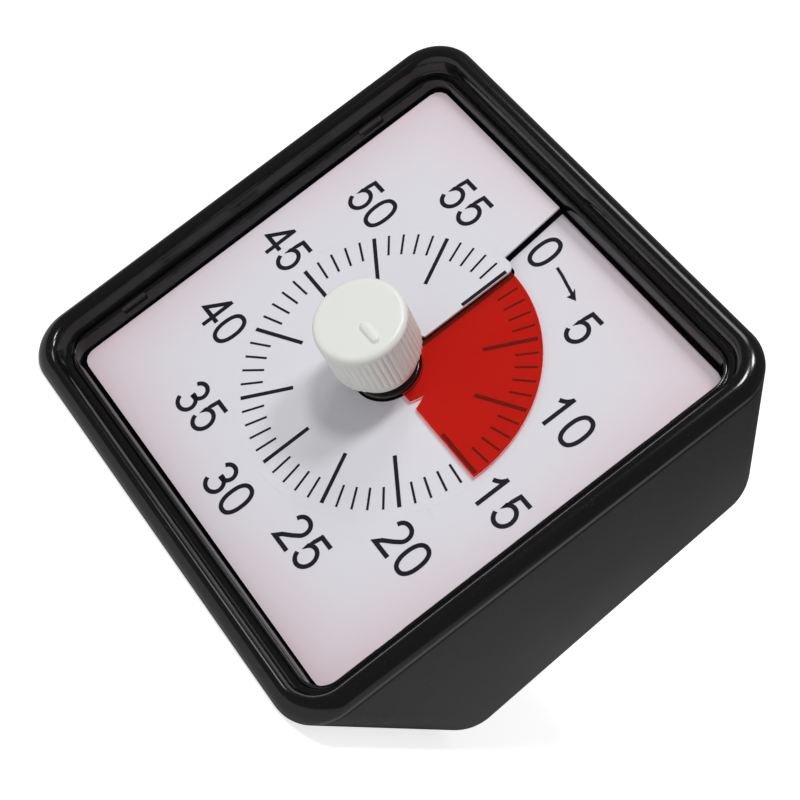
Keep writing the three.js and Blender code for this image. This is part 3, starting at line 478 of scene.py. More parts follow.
def filmMaterial(name, filmColour):
    material, tree, shader = startMaterial(name)
    grain = placeGroup(tree, mouldedGrain, Fineness=1500, Unevenness=0.7)
    dust = placeGroup(tree, fineDust, Amount=0.1, Speck_size=2000)
    shade = colourBlend(tree, grain.outputs["Shade"], filmColour["dark"], filmColour["light"])
    dusty = colourBlend(tree, dust.outputs["Mask"], shade, (0.8, 0.5, 0.45))
    tree.links.new(dusty, shader.inputs["Base Color"])
    varyRoughness(tree, shader, grain.outputs["Shade"], 0.16, 0.3)
    addBump(tree, shader, grain.outputs["Height"], 0.05, 0.02)
    shader.inputs["Specular IOR Level"].default_value = 0.3
    clear = addNode(tree, "ShaderNodeBsdfTransparent")
    clear.inputs["Color"].default_value = (*filmColour["clear"], 1)
    blend = addNode(tree, "ShaderNodeMixShader")
    specks = mathNode(tree, "MULTIPLY", dust.outputs["Mask"], 0.5)
    tree.links.new(mathNode(tree, "ADD", specks, filmColour["body"], True), blend.inputs["Fac"])
    tree.links.new(clear.outputs[0], blend.inputs[1])
    tree.links.new(shader.outputs[0], blend.inputs[2])
    tree.links.new(blend.outputs[0], tree.nodes["Material Output"].inputs["Surface"])
    return material


# stripes across or round a piece: winding turns, a printed jacket, board tracks
def bandedMaterial(name, finish):
    material, tree, shader = startMaterial(name)
    grain = placeGroup(tree, mouldedGrain, Fineness=2500, Unevenness=0.7)
    dust = placeGroup(tree, fineDust, Amount=0.12, Speck_size=2400)
    place = addNode(tree, "ShaderNodeTexCoord")
    wave = addNode(tree, "ShaderNodeTexWave", bands_direction=finish["along"])
    wave.inputs["Scale"].default_value = finish["scale"]
    wave.inputs["Distortion"].default_value = finish["wander"]
    tree.links.new(place.outputs["Object"], wave.inputs["Vector"])
    bands = above(tree, wave.outputs["Fac"], finish["cut"], 6)
    base = colourBlend(tree, grain.outputs["Shade"], finish["dark"], finish["light"])
    striped = colourBlend(tree, bands, base, finish["stripe"])
    dusty = colourBlend(tree, dust.outputs["Mask"], striped, (0.5, 0.48, 0.45))
    tree.links.new(dusty, shader.inputs["Base Color"])
    varyRoughness(tree, shader, grain.outputs["Shade"], 0.2, finish["rough"])
    addBump(tree, shader, wave.outputs["Fac"], 0.4, 0.05)
    shader.inputs["Metallic"].default_value = finish["metal"]
    return material


banded = {
    "coilCopper": {
        "along": "X", "scale": 1600, "wander": 0.4, "cut": 0.35, "rough": 0.25, "metal": 0.8,
        "dark": (0.3, 0.09, 0.03), "light": (0.42, 0.15, 0.05), "stripe": (0.62, 0.28, 0.12),
    },
    "boardGreen": {
        "along": "DIAGONAL", "scale": 260, "wander": 6, "cut": 0.7, "rough": 0.28, "metal": 0,
        "dark": (0.02, 0.12, 0.045), "light": (0.03, 0.17, 0.06), "stripe": (0.06, 0.26, 0.1),
    },
    "cellJacket": {
        "along": "X", "scale": 14, "wander": 0, "cut": 0.8, "rough": 0.25, "metal": 0.2,
        "dark": (0.03, 0.07, 0.2), "light": (0.045, 0.09, 0.25), "stripe": (0.5, 0.5, 0.52),
    },
}
for name, finish in banded.items():
    materials[name] = bandedMaterial(name, finish)
materials["dialSheet"] = dialMaterial()
materials["printedInk"] = inkMaterial()
for name, filmColour in filmColours.items():
    materials[name] = filmMaterial(name, filmColour)
print("materials ready:", len(materials))


# the case's outer form, in millimetres, which the bezel and the housing share
case = {
    "half": 40, "corner": 7, "seat": 2.9, "rim": 2.6, "rimEdge": ((0, 0.45), (0.1, 0.2), (0.35, 0)),
    "wall": 2.0, "rearWall": 2.4, "rearRound": 3, "leastCorner": 2,
    "lowSlope": math.tan(math.radians(24)), "topSlope": math.tan(math.radians(13.5)), "rearSlope": 0.137,
}
cutPast = 1  # how far a cutting tool runs past the wall that it cuts

# front bezel: the moulded section swept round the square, four relief notches and four clips
bezel = {
    "wall": ((40, 2.9), (39.99, 3.4)),
    "crown": (
        (39.96, 3.7), (39.6, 4.45), (39.0, 4.95), (38.25, 5.2), (37.6, 5.15), (37.15, 4.8), (36.85, 4.1),
        (36.7, 3.4), (36.5, 2.75), (36.15, 2.35), (35.8, 2.25), (35.55, 2.45), (35.3, 2.5), (35.05, 2.35),
        (34.85, 1.8),
    ),
    "skirt": ((34.6, 0), (34.55, -0.6), (35.9, -0.6), (35.9, 2.63), (39.45, 2.63), (39.5, 2.9)),
    "inside": 34.55, "insideCorner": 2.2, "lip": 35.3, "lipCorner": 4.2,
    "clipMiddles": (-22.9, 21.9), "clipLength": 4.4,
    "notch": {"near": 33.15, "far": 35.15, "floor": 1.2, "top": 6, "corner": 0.25, "edge": 0.15},
    "clip": {
        "inner": 34.78, "outer": 35.78, "root": -0.3, "foot": -6.4, "hook": 33.47, "toe": 0.8, "ramp": 0.4,
    },
}


def cornerCut(points, rounds):
    for _ in range(rounds):
        softer = [points[0]]
        for (ax, ay), (bx, by) in zip(points, points[1:]):
            softer.append((0.75 * ax + 0.25 * bx, 0.75 * ay + 0.25 * by))
            softer.append((0.25 * ax + 0.75 * bx, 0.25 * ay + 0.75 * by))
        softer.append(points[-1])
        points = softer
    return points


def bezelCorner(distance):
    if distance >= bezel["lip"]:
        share = (distance - bezel["lip"]) / (case["half"] - bezel["lip"])
        return bezel["lipCorner"] + share * (case["corner"] - bezel["lipCorner"])
    share = max(0, (distance - bezel["inside"]) / (bezel["lip"] - bezel["inside"]))
    return bezel["insideCorner"] + share * (bezel["lipCorner"] - bezel["insideCorner"])


def makeBezel():
    section = [*bezel["wall"], *cornerCut(list(bezel["crown"]), 2), *bezel["skirt"]]
    loops = [[(x, y, z) for x, y in roundedLoop(-d, d, -d, d, bezelCorner(d), 18)] for d, z in section]
    piece = makePiece("frontBezel", *lofted(loops, capped=False))
    cut = bezel["notch"]
    clip = bezel["clip"]
    shelf = clip["foot"] + clip["toe"] + clip["ramp"]
    outline = (
        (clip["inner"], clip["root"]), (clip["outer"], clip["root"]), (clip["outer"], clip["foot"]),
        (clip["hook"], clip["foot"]), (clip["hook"], clip["foot"] + clip["toe"]),
        (clip["hook"] + clip["ramp"], shelf), (clip["inner"], shelf),
    )
    notches = []
    clips = []
    for side in (-1, 1):
        for middle in bezel["clipMiddles"]:
            low = middle - bezel["clipLength"] / 2
            high = middle + bezel["clipLength"] / 2
            left, right = sorted((side * cut["near"], side * cut["far"]))
            notches.append(makeTool(slabLoops(
                left, right, low, high, cut["floor"], cut["top"], cut["corner"], cut["edge"], 3,
            )))
            clips.append(makeTool([[(side * d, y, z) for d, z in outline] for y in (low, high)]))
    shape(piece, notches, "DIFFERENCE")
    shape(piece, clips, "UNION")
    finishPiece(piece, "case", materials["glossBlack"], ["front_bezel"])


makeBezel()
print("bezel made")

# rear housing: a tapered shell, then its bay, posts and openings; v runs up the rear face
door = {
    "reach": 29.1, "low": -20.8, "high": -4.2, "corner": 1.5, "thickness": 1.5, "sunk": 0.2, "edge": 0.3,
    "gap": 0.3, "recess": 1.7, "flare": 0.3, "grooves": 5, "grooveTop": -7.1, "groovePitch": 1.2,
    "grooveReach": 7, "grooveHalf": 0.25, "grooveDepth": 0.4, "grooveCorner": 0.2, "grooveRound": 0.12,
}
bay = {"reach": 28.2, "low": -19.9, "high": -5.1, "depth": 16.45, "wall": 1.0, "root": 0.4}
sound = {"x": -12, "v": 15, "radius": 0.9, "ring": 4, "around": 6, "depth": 4, "flare": 0.2}
slot = {
    "left": 16.4, "right": 23.2, "v": 15, "high": 1.4, "depth": 4, "corner": 0.4, "flare": 0.01,
    "rebateSide": 2.4, "rebateHigh": 1.4, "rebate": 1, "rebateCorner": 1.2, "rebateFlare": 0.25,
}
screws = {
    "x": 33.2, "rows": (27.6, -13.5), "bore": 2.45, "hole": 1.35, "post": 3.35, "postRoot": 1.2, "sink": 3.2,
    "length": 5,
}


# one outline of the case; share is 0 at the front level and 1 at the rear face
def caseLoop(share, inset, rearLift, front):
    climb = rearLift - rearDepth - front
    lowSlope = case["lowSlope"]
    topSlope = case["topSlope"]
    low = -case["half"] + inset * math.hypot(1, lowSlope) - lowSlope * (front - case["seat"])
    high = case["half"] - inset * math.hypot(1, topSlope) + topSlope * (front - case["seat"])
    low = (low - lowSlope * share * climb) / (1 + lowSlope * share * case["rearSlope"])
    high = (high + topSlope * share * climb) / (1 - topSlope * share * case["rearSlope"])
    side = case["half"] - inset
    flat = roundedLoop(-side, side, low, high, max(case["corner"] - inset, case["leastCorner"]), 16)
    return [(x, y, front + share * (climb + case["rearSlope"] * y)) for x, y in flat]


def movedTo(x, y, loops):
    return [[(x + px, y + py, pz) for px, py, pz in loop] for loop in loops]


def boreLoops(x, y, radius, bottom, top):
    return movedTo(x, y, turned(((radius, bottom), (radius, top)), 32))


def flaredHole(x, v, radius, depth, flare):
    section = ((radius + cutPast + flare, -cutPast), (radius + flare, 0), (radius, flare), (radius, depth))
    return [onRear(loop) for loop in movedTo(x, v, turned(section, 28))]


def flaredSlot(left, right, low, high, depth, corner, flare):
    loops = []
    for grown, level in ((cutPast + flare, -cutPast), (flare, 0), (0, flare), (0, depth)):
        flat = roundedLoop(left - grown, right + grown, low - grown, high + grown, corner + grown, 8)
        loops.append(onRear([(x, v, level) for x, v in flat]))
    return loops


def bayLoops(grown, bottom, top):
    flat = roundedLoop(
        -bay["reach"] - grown, bay["reach"] + grown, bay["low"] - grown, bay["high"] + grown, 0.4, 3,
    )
    return [onRear([(x, v, level) for x, v in flat]) for level in (bottom, top)]


def makeHousing():
    loops = []
    for turn in (90, 78, 66, 54, 42, 30, 20, 10, 0):
        a = math.radians(turn)
        inset = case["rearRound"] * (1 - math.cos(a))
        loops.append(caseLoop(1, inset, case["rearRound"] * (1 - math.sin(a)), case["rim"]))
    loops += [caseLoop(0, inset, 0, case["rim"] - drop) for inset, drop in case["rimEdge"]]
    loops += [caseLoop(share, case["wall"], case["rearWall"], case["rim"]) for share in (0, 1)]
    piece = makePiece("rearHousing", *lofted(loops))
    added = [makeTool(bayLoops(bay["wall"], case["rearWall"] - bay["root"], bay["depth"] + bay["wall"]))]
    removed = [makeTool(bayLoops(0, -cutPast, bay["depth"]))]
    gap = door["gap"]
    removed.append(makeTool(flaredSlot(
        -door["reach"] - gap, door["reach"] + gap, door["low"] - gap, door["high"] + gap,
        door["recess"], door["corner"] + gap, door["flare"],
    )))
    for side in (-1, 1):
        for y in screws["rows"]:
            face = case["rearSlope"] * y - rearDepth
            seat = face + screws["sink"]
            end = seat + screws["length"]
            x = side * screws["x"]
            added.append(makeTool(boreLoops(x, y, screws["post"], face + screws["postRoot"], end)))
            removed.append(makeTool(boreLoops(x, y, screws["bore"], face - 2 * cutPast, seat)))
            removed.append(makeTool(boreLoops(x, y, screws["hole"], seat - cutPast, end + cutPast)))
    for k in range(sound["around"] + 1):
        turn = fullTurn * k / sound["around"]
        ring = sound["ring"] if k < sound["around"] else 0
        x = sound["x"] + ring * math.cos(turn)
        v = sound["v"] + ring * math.sin(turn)
        removed.append(makeTool(flaredHole(x, v, sound["radius"], sound["depth"], sound["flare"])))
    low = slot["v"] - slot["high"]
    high = slot["v"] + slot["high"]
    removed.append(makeTool(flaredSlot(
        slot["left"], slot["right"], low, high, slot["depth"], slot["corner"], slot["flare"],
    )))
    removed.append(makeTool(flaredSlot(
        slot["left"] - slot["rebateSide"], slot["right"] + slot["rebateSide"], low - slot["rebateHigh"],
        high + slot["rebateHigh"], slot["rebate"], slot["rebateCorner"], slot["rebateFlare"],
    )))
    shape(piece, added, "UNION")
    shape(piece, removed, "DIFFERENCE")
    finishPiece(piece, "case", materials["mattBlack"], ["rear_housing"], 30)


makeHousing()
print("housing made")


# battery door with rounded edges and five finger grooves
def makeDoor():
    loops = slabLoops(
        -door["reach"], door["reach"], door["low"], door["high"], door["sunk"],
        door["thickness"] + door["sunk"], door["corner"], door["edge"], 8,
    )
    piece = makePiece("batteryDoor", *lofted([onRear(loop) for loop in loops]))
    grooves = []
    reach = door["grooveReach"]
    half = door["grooveHalf"]
    for k in range(door["grooves"]):
        v = door["grooveTop"] - door["groovePitch"] * k
        groove = slabLoops(
            -reach, reach, v - half, v + half, -door["grooveRound"], door["grooveDepth"],
            door["grooveCorner"], door["grooveRound"], 4,
        )
        grooves.append(makeTool([onRear(loop) for loop in groove]))
    shape(piece, grooves, "DIFFERENCE")
    finishPiece(piece, "door", materials["mattBlack"], ["battery_door"], 30)


makeDoor()
print("door made")

# dial sheet: one turn of a shallow helix, slit at zero, with a rounded flap beside the slit
dial = {
    "half": 34.15, "corner": 2, "thickness": 0.35, "hub": 5.3, "hubRelief": 7.0, "reliefFrom": 0.93,
    "flapRound": 1.4, "flapStart": 21.95, "flapEnd": 23.35, "flapPast": 0.05,
    "slitGap": 0.3, "slitLean": math.radians(5.7), "slitShift": 0.25,
    "sag": 0.32, "sagStart": 1.9, "sagLength": 4.25, "sagFullness": 0.8,
    "columns": 360, "inside": (0, 0.12, 0.3, 0.5, 0.68, 0.8, 0.9), "outside": (0.0002, 0.2, 0.4, 0.6, 0.8, 1),
}


def slitTrim(radius):
    if radius > dial["flapEnd"]:
        return dial["slitLean"]
    past = max(0, radius - dial["flapStart"])
    back = dial["flapRound"] - math.sqrt(max(0, dial["flapRound"] ** 2 - past ** 2))
    return (dial["flapPast"] - dial["slitShift"] + back) / radius


# the sheet lies a little flatter than the film on its left half
def sheetRise(angle):
    past = min(1, max(0, (angle - dial["sagStart"]) / dial["sagLength"]))
    return rise(angle) - dial["sag"] * math.sin(math.pi * past) ** dial["sagFullness"]


def squareReach(angle):
    s = abs(math.sin(angle))
    c = abs(math.cos(angle))
    flat = dial["half"] / max(s, c)
    core = dial["half"] - dial["corner"]
    if min(s, c) * flat <= core:
        return flat
    along = core * (s + c)
    return along + math.sqrt(max(0, along ** 2 - 2 * core ** 2 + dial["corner"] ** 2))


def sheetPoint(share, radius):
    gap = dial["slitGap"] / radius
    angle = gap - slitTrim(radius) + share * (fullTurn - gap)
    return polar(radius, angle, sheetRise(angle))


# closes columns of points into a thin solid: two faces, an inner and an outer edge, and two ends
def closedSheet(points, columns, thickness):
    below = [(x, y, z - thickness) for x, y, z in points]
    total = len(points)
    rows = total // (columns + 1)
    faces = []
    for k in range(columns):
        for j in range(rows - 1):
            a = k * rows + j
            b = a + rows
            faces.append((a, a + 1, b + 1, b))
            faces.append((total + a, total + b, total + b + 1, total + a + 1))
    for k in range(columns):
        a = k * rows
        b = a + rows
        faces.append((a, b, total + b, total + a))
        faces.append((a + rows - 1, total + a + rows - 1, total + b + rows - 1, b + rows - 1))
    for j in range(rows - 1):
        faces.append((j, total + j, total + j + 1, j + 1))
        a = columns * rows + j
        faces.append((a, a + 1, total + a + 1, total + a))
    return points + below, faces


def makeSheet():
    columns = dial["columns"]
    flap = [dial["flapStart"] + dial["flapRound"] * math.sin(math.radians(a)) for a in range(0, 91, 9)]
    beyond = dial["flapEnd"] + 0.0001  # the slit steps over to its line here
    points = []
    for k in range(columns + 1):
        share = k / columns
        relief = max(0, (share - dial["reliefFrom"]) / (1 - dial["reliefFrom"]))
        hub = dial["hub"] + (dial["hubRelief"] - dial["hub"]) * relief
        reach = squareReach(share * fullTurn - dial["slitLean"])
        radii = [hub + (dial["flapStart"] - hub) * s for s in dial["inside"]] + flap
        radii += [beyond + (reach - beyond) * s for s in dial["outside"]]
        points += [sheetPoint(share, radius) for radius in radii]
    piece = makePiece("dialSheet", *closedSheet(points, columns, dial["thickness"]))
    finishPiece(piece, "case", materials["dialSheet"], ["dial_sheet"])


makeSheet()
print("dial sheet made")

# printing: minute marks, numbers and the arrow, laid just above the sheet
printing = {
    "lift": 0.035, "depth": 0.02, "outer": 22.0, "longInner": 14.0, "shortInner": 18.6,
    "longWidth": 0.59, "shortWidth": 0.34, "slitMargin": 0.14,
    "numberRadius": 28.27, "sideRadius": 28.03, "height": 5.6, "stroke": 0.67, "pitch": 4.26,
    "pitchWithOne": 4.35, "zeroShift": 0.3, "oneShift": -0.3, "leftShift": 0.3, "numberLift": 0.12,
    "arrow": ((3.63, 28.07), (5.2, 27.8), (6.8, 27.4), (9.2, 26.85)), "arrowWidth": 0.46,
    "arrowHead": ((9.95, 26.7), (8.15, 27.85), (8.65, 26.98), (8.5, 26.1)),
}


def drape(x, y):
    angle = math.atan2(x, y)
    if angle < -slitTrim(math.hypot(x, y)):
        angle += fullTurn
    return (x, y, sheetRise(angle) + printing["lift"])


def strokeStrip(path, width):
    tiny = 1e-9
    edges = [[], []]
    for k, (x, y) in enumerate(path):
        ahead = path[min(k + 1, len(path) - 1)]
        behind = path[max(k - 1, 0)]
        lead = Vector((ahead[0] - x, ahead[1] - y))
        tail = Vector((x - behind[0], y - behind[1]))
        if lead.length < tiny:
            lead = tail
        if tail.length < tiny:
            tail = lead
        lead.normalize()
        tail.normalize()
        middle = (lead + tail).normalized()
        reach = width / 2 / max(middle.dot(lead), 0.45)  # a mitre, held short at a sharp bend
        edges[0].append((x - middle.y * reach, y + middle.x * reach))
        edges[1].append((x + middle.y * reach, y - middle.x * reach))
    return edges


def arcPath(x, y, wide, high, start, end, steps=14, power=1.0):
    path = []
    for k in range(steps + 1):
        turn = math.radians(start + (end - start) * k / steps)
        c = math.cos(turn)
        s = math.sin(turn)
        px = math.copysign(abs(c) ** power, c)
        py = math.copysign(abs(s) ** power, s)
        path.append((x + wide * px, y + high * py))
    return path


# each digit is a few pen strokes in a box 1 high, centred on its own middle
digitStrokes = {
    "0": (arcPath(0, 0, 0.262, 0.4465, 0, 360, 40, 0.86),),
    "1": ([(0.06, -0.5), (0.06, 0.5)], [(0.06, 0.44), (-0.02, 0.32), (-0.11, 0.25), (-0.2, 0.205)]),
    "2": (
        [
            *arcPath(0, 0.2, 0.25, 0.2465, 172, -38, 16, 0.95), (0.06, -0.1), (-0.16, -0.29),
            (-0.262, -0.4465), (0.3, -0.4465),
        ],
    ),
    "3": (
        [*arcPath(-0.02, 0.225, 0.225, 0.2215, 165, -72, 14), (-0.08, 0.01)],
        [(-0.08, 0.045), *arcPath(-0.02, -0.2, 0.262, 0.2465, 82, -166, 18)],
    ),
    "4": ([(0.345, -0.165), (-0.285, -0.165), (0.11, 0.43)], [(0.13, -0.5), (0.13, 0.5)]),
    "5": (
        [
            (0.25, 0.4465), (-0.145, 0.4465), (-0.215, 0.0),
            *arcPath(-0.01, -0.145, 0.262, 0.3015, 138, -160, 20),
        ],
    ),
}


def markStrips():
    strips = []
    for minute in range(60):
        angle = fullTurn * minute / 60
        kind = "long" if minute % 5 == 0 else "short"
        inner = printing[kind + "Inner"]
        width = printing[kind + "Width"]
        shift = dial["slitShift"] - width / 2 - printing["slitMargin"] if minute == 0 else 0
        radii = (inner, (inner + printing["outer"]) / 2, printing["outer"])
        path = [(shift + radius * math.sin(angle), radius * math.cos(angle)) for radius in radii]
        strips.append((path, width))
    return strips


def numberStrips():
    strips = []
    height = printing["height"]
    for number in range(0, 60, 5):
        angle = fullTurn * number / 60
        text = str(number)
        radius = printing["sideRadius"] if number in (15, 45) else printing["numberRadius"]
        x = radius * math.sin(angle) + (printing["zeroShift"] if number == 0 else 0)
        y = radius * math.cos(angle) + printing["numberLift"]
        x += printing["oneShift"] if "1" in text else 0
        x += printing["leftShift"] if number in (40, 45, 50) else 0
        pitch = printing["pitchWithOne"] if "1" in text else printing["pitch"]
        for place, digit in enumerate(text):
            left = x + (place - (len(text) - 1) / 2) * pitch
            for stroke in digitStrokes[digit]:
                fine = []
                for (ax, ay), (bx, by) in zip(stroke, stroke[1:]):
                    fine.append((ax, ay))
                    if math.hypot(bx - ax, by - ay) > 0.3:
                        fine.append(((ax + bx) / 2, (ay + by) / 2))
                fine.append(stroke[-1])
                path = [(left + px * height, y + py * height) for px, py in fine]
                strips.append((path, printing["stroke"]))
    return strips


def makePrinting():
    points = []
    faces = []
    for path, width in [*markStrips(), *numberStrips(), (printing["arrow"], printing["arrowWidth"])]:
        start = len(points)
        for left, right in zip(*strokeStrip(path, width)):
            points += [drape(*left), drape(*right)]
        for k in range(len(path) - 1):
            a = start + 2 * k
            faces.append((a, a + 1, a + 3, a + 2))
    start = len(points)
    points += [drape(*corner) for corner in printing["arrowHead"]]
    faces.append((start, start + 1, start + 2))
    faces.append((start, start + 2, start + 3))
    mesh = bpy.data.meshes.new("dialPrinting")
    mesh.from_pydata([dialFrame @ (Vector(point) * mm) for point in points], [], faces)
    for polygon in mesh.polygons:
        if polygon.normal.dot(dialOut) < 0:
            polygon.flip()
    piece = placeObject("dialPrinting", mesh)
    body = piece.modifiers.new("inkDepth", "SOLIDIFY")
    body.thickness = printing["depth"] * mm
    body.offset = -1
    shape(piece, [], "UNION")
    finishPiece(piece, "case", materials["printedInk"])


makePrinting()
print("printing made")

# red film: one turn of the same helix, with a straight leading edge and a V notch by the hub
film = {
    "minutes": 15, "gap": 0.3, "thickness": 0.25, "edge": 0.6, "seam": 0.01, "columns": 400,
    "inside": (5.25, 5.9, 6.5, 7.06, 7.2, 7.37, 7.53, 7.68, 7.88, 8.09, 8.3, 8.5), "rings": 14, "outer": 22.7,
    "notchNear": 7.06, "notchTip": 7.68, "notchFar": 8.5, "notchDepth": 2.1, "notchFrom": 0.9,
}
setting = fullTurn * film["minutes"] / 60


def filmEdge(radius):
    return setting + math.asin(film["edge"] / radius)


def notchDepth(radius):
    if film["notchNear"] < radius <= film["notchTip"]:
        return film["notchDepth"] * (radius - film["notchNear"]) / (film["notchTip"] - film["notchNear"])
    if film["notchTip"] < radius < film["notchFar"]:
        return film["notchDepth"] * (film["notchFar"] - radius) / (film["notchFar"] - film["notchTip"])
    return 0


def makeFilm():
    columns = film["columns"]
    last = film["inside"][-1]
    radii = list(film["inside"])
    radii += [last + (film["outer"] - last) * k / film["rings"] for k in range(1, film["rings"] + 1)]
    start = filmEdge(film["outer"]) - fullTurn + film["seam"]
    points = []
    for k in range(columns + 1):
        share = k / columns
        ramp = max(0, (share - film["notchFrom"]) / (1 - film["notchFrom"]))
        for radius in radii:
            angle = start + (filmEdge(radius) - start) * share - notchDepth(radius) / radius * ramp
            points.append(polar(radius, angle, rise(angle) + film["gap"] + film["thickness"]))
    piece = makePiece("redFilm", *closedSheet(points, columns, film["thickness"]))
    finishPiece(piece, "film_set", materials["filmRed"], ["red_film"])
    # the edge faces take the pale pink painted highlight; the broad faces keep the red film
    piece.data.materials.append(materials["filmEdgeHighlight"])
    for polygon in piece.data.polygons:
        polygon.material_index = 1 if abs(polygon.normal.dot(dialOut)) < 0.5 else 0


makeFilm()
print("film made")

# collar: rounded edges and a slightly sunk top, from the film's lower end to its upper end
collar = {
    "bore": 1.75, "radius": 5.0, "lowRound": 0.2, "topRound": 0.3, "past": 0.1,
    "rimInside": 3.4, "sunkRadius": 3.2, "sunk": 0.06,
}


def makeCollar():
    low = rise(setting - fullTurn) + film["gap"] - collar["past"]
    high = rise(setting) + film["gap"] + film["thickness"] + collar["past"]
    section = [(collar["bore"], low), (collar["radius"] - collar["lowRound"], low)]
    for turn in (30, 60, 90):
        a = math.radians(turn)
        inset = collar["lowRound"] * (1 - math.sin(a))
        section.append((collar["radius"] - inset, low + collar["lowRound"] * (1 - math.cos(a))))
    for turn in range(0, 91, 15):
        a = math.radians(turn)
        inset = collar["topRound"] * (1 - math.cos(a))
        section.append((collar["radius"] - inset, high - collar["topRound"] * (1 - math.sin(a))))
    floor = high - collar["sunk"]
    section += [(collar["rimInside"], high), (collar["sunkRadius"], floor), (collar["bore"], floor)]
    piece = makePiece("filmCollar", *lofted(turned(section, 96), capped=False))
    finishPiece(piece, "film_set", materials["collarBlack"], ["film_collar"])


makeCollar()
print("collar made")

# knob: fine flutes that fade into a smooth rounded top, a neck below and a raised pointer on top
knob = {
    "radius": 6.8, "top": 14.3, "round": 0.95, "sideTop": 12.8, "sideRings": 8, "topRings": 46,
    "foot": (
        (3.0, 2.4), (5.15, 2.4), (5.33, 2.47), (5.4, 2.65), (5.4, 4.0), (5.4, 5.1), (5.5, 5.3), (6.45, 5.3),
        (6.7, 5.37), (6.8, 5.6),
    ),
    "flutes": 48, "fluteDepth": 0.17, "fluteSharpness": 0.7, "fluteInside": 6.1, "fluteBase": 5.29,
    "fluteFade": 0.8, "fluteEnd": 0.75,
    "pointerNear": 0.9, "pointerFar": 5.0, "pointerWidth": 1.5, "pointerHeight": 0.5,
}


def flute(turn, radius, height):
    if radius < knob["fluteInside"] or height < knob["fluteBase"]:
        return 0
    end = knob["top"] - knob["round"] * knob["fluteEnd"]
    fade = min(1, max(0, (end - height) / knob["fluteFade"]))
    groove = abs(math.sin(turn * knob["flutes"] / 2)) ** knob["fluteSharpness"]
    return -knob["fluteDepth"] * (1 - groove) * fade


def pointerLift(x, y):
    half = knob["pointerWidth"] / 2
    spine = min(max(x, knob["pointerNear"] + half), knob["pointerFar"] - half)
    off = math.hypot(x - spine, y) / half
    return knob["pointerHeight"] * (1 - off ** 2.6) ** 0.75 if off < 1 else 0


def makeKnob():
    section = list(knob["foot"])
    sideBase = section[-1][1]
    for k in range(1, knob["sideRings"] + 1):
        section.append((knob["radius"], sideBase + (knob["sideTop"] - sideBase) * k / knob["sideRings"]))
    for turn in range(0, 91, 9):
        a = math.radians(turn)
        inset = knob["round"] * (1 - math.cos(a))
        section.append((knob["radius"] - inset, knob["top"] - knob["round"] * (1 - math.sin(a))))
    flat = knob["radius"] - knob["round"]
    section += [(flat * (1 - k / knob["topRings"]), knob["top"]) for k in range(1, knob["topRings"])]
    shaped = []
    for loop in turned(section, knob["flutes"] * 8, flute):
        onTop = loop[0][2] > knob["top"] - 0.02
        shaped.append([(x, y, z + (pointerLift(x, y) if onTop else 0)) for x, y, z in loop])
    piece = makePiece("settingKnob", *lofted(shaped))
    finishPiece(piece, "knob_set", materials["knobWhite"], ["knob"], 50)


makeKnob()
print("knob made")


# carried-over nodes keep their shape and get a finish, with their round faces shaded smooth
def smoothShading():
    group = bpy.data.node_groups.new("smoothShading", "GeometryNodeTree")
    group.interface.new_socket("Geometry", in_out="INPUT", socket_type="NodeSocketGeometry")
    group.interface.new_socket("Geometry", in_out="OUTPUT", socket_type="NodeSocketGeometry")
    enter = group.nodes.new("NodeGroupInput")
    leave = group.nodes.new("NodeGroupOutput")
    weld = group.nodes.new("GeometryNodeMergeByDistance")
    weld.inputs["Distance"].default_value = 0.002 * mm
    faces = group.nodes.new("GeometryNodeSetShadeSmooth")
    edges = group.nodes.new("GeometryNodeSetShadeSmooth")
    edges.domain = "EDGE"
    angle = group.nodes.new("GeometryNodeInputMeshEdgeAngle")
    gentle = addNode(group, "FunctionNodeCompare", data_type="FLOAT", operation="LESS_THAN")
    gentle.inputs[1].default_value = math.radians(34)
    group.links.new(enter.outputs[0], weld.inputs[0])
    group.links.new(weld.outputs[0], faces.inputs[0])
    group.links.new(faces.outputs[0], edges.inputs[0])
    group.links.new(angle.outputs["Unsigned Angle"], gentle.inputs[0])
    group.links.new(gentle.outputs[0], edges.inputs["Shade Smooth"])
    group.links.new(edges.outputs[0], leave.inputs[0])
    return group


nodeFinishes = {
    "mattBlack": ("dial_carrier",),
    "platedSteel": (
        "spindle", "stator", "quartz_crystal", "battery_spring", "battery_contact",
        "case_screw_1", "case_screw_2", "case_screw_3", "case_screw_4",
        "movement_screw_1", "movement_screw_2", "movement_screw_3", "movement_screw_4",
    ),
    "movementBlack": ("movement_case_front", "movement_case_rear", "switch_body"),
    "wheelIvory": ("centre_wheel", "third_wheel"),
    "magnetGrey": ("rotor",),
    "coilCopper": ("coil",),
    "boardGreen": ("circuit_board",),
    "cellJacket": ("battery_cell",),
    "soundBrass": ("piezo_disc",),
    "leverGrey": ("switch_lever",),
}
shading = smoothShading()
for finish, names in nodeFinishes.items():
    for name in names:
        node = frame["nodes"][name]
        node.data.materials.clear()
        node.data.materials.append(materials[finish])
        step = node.modifiers.new("smoothShading", "NODES")
        step.node_group = shading
print("carried-over nodes finished:", sum(len(names) for names in nodeFinishes.values()))

# floor, lights, world and camera
stageSet = {"floor": 4.0, "floorGlow": 0.75, "worldGlow": 0.3, "seenGlow": 1.1, "shineDrop": 0.13}


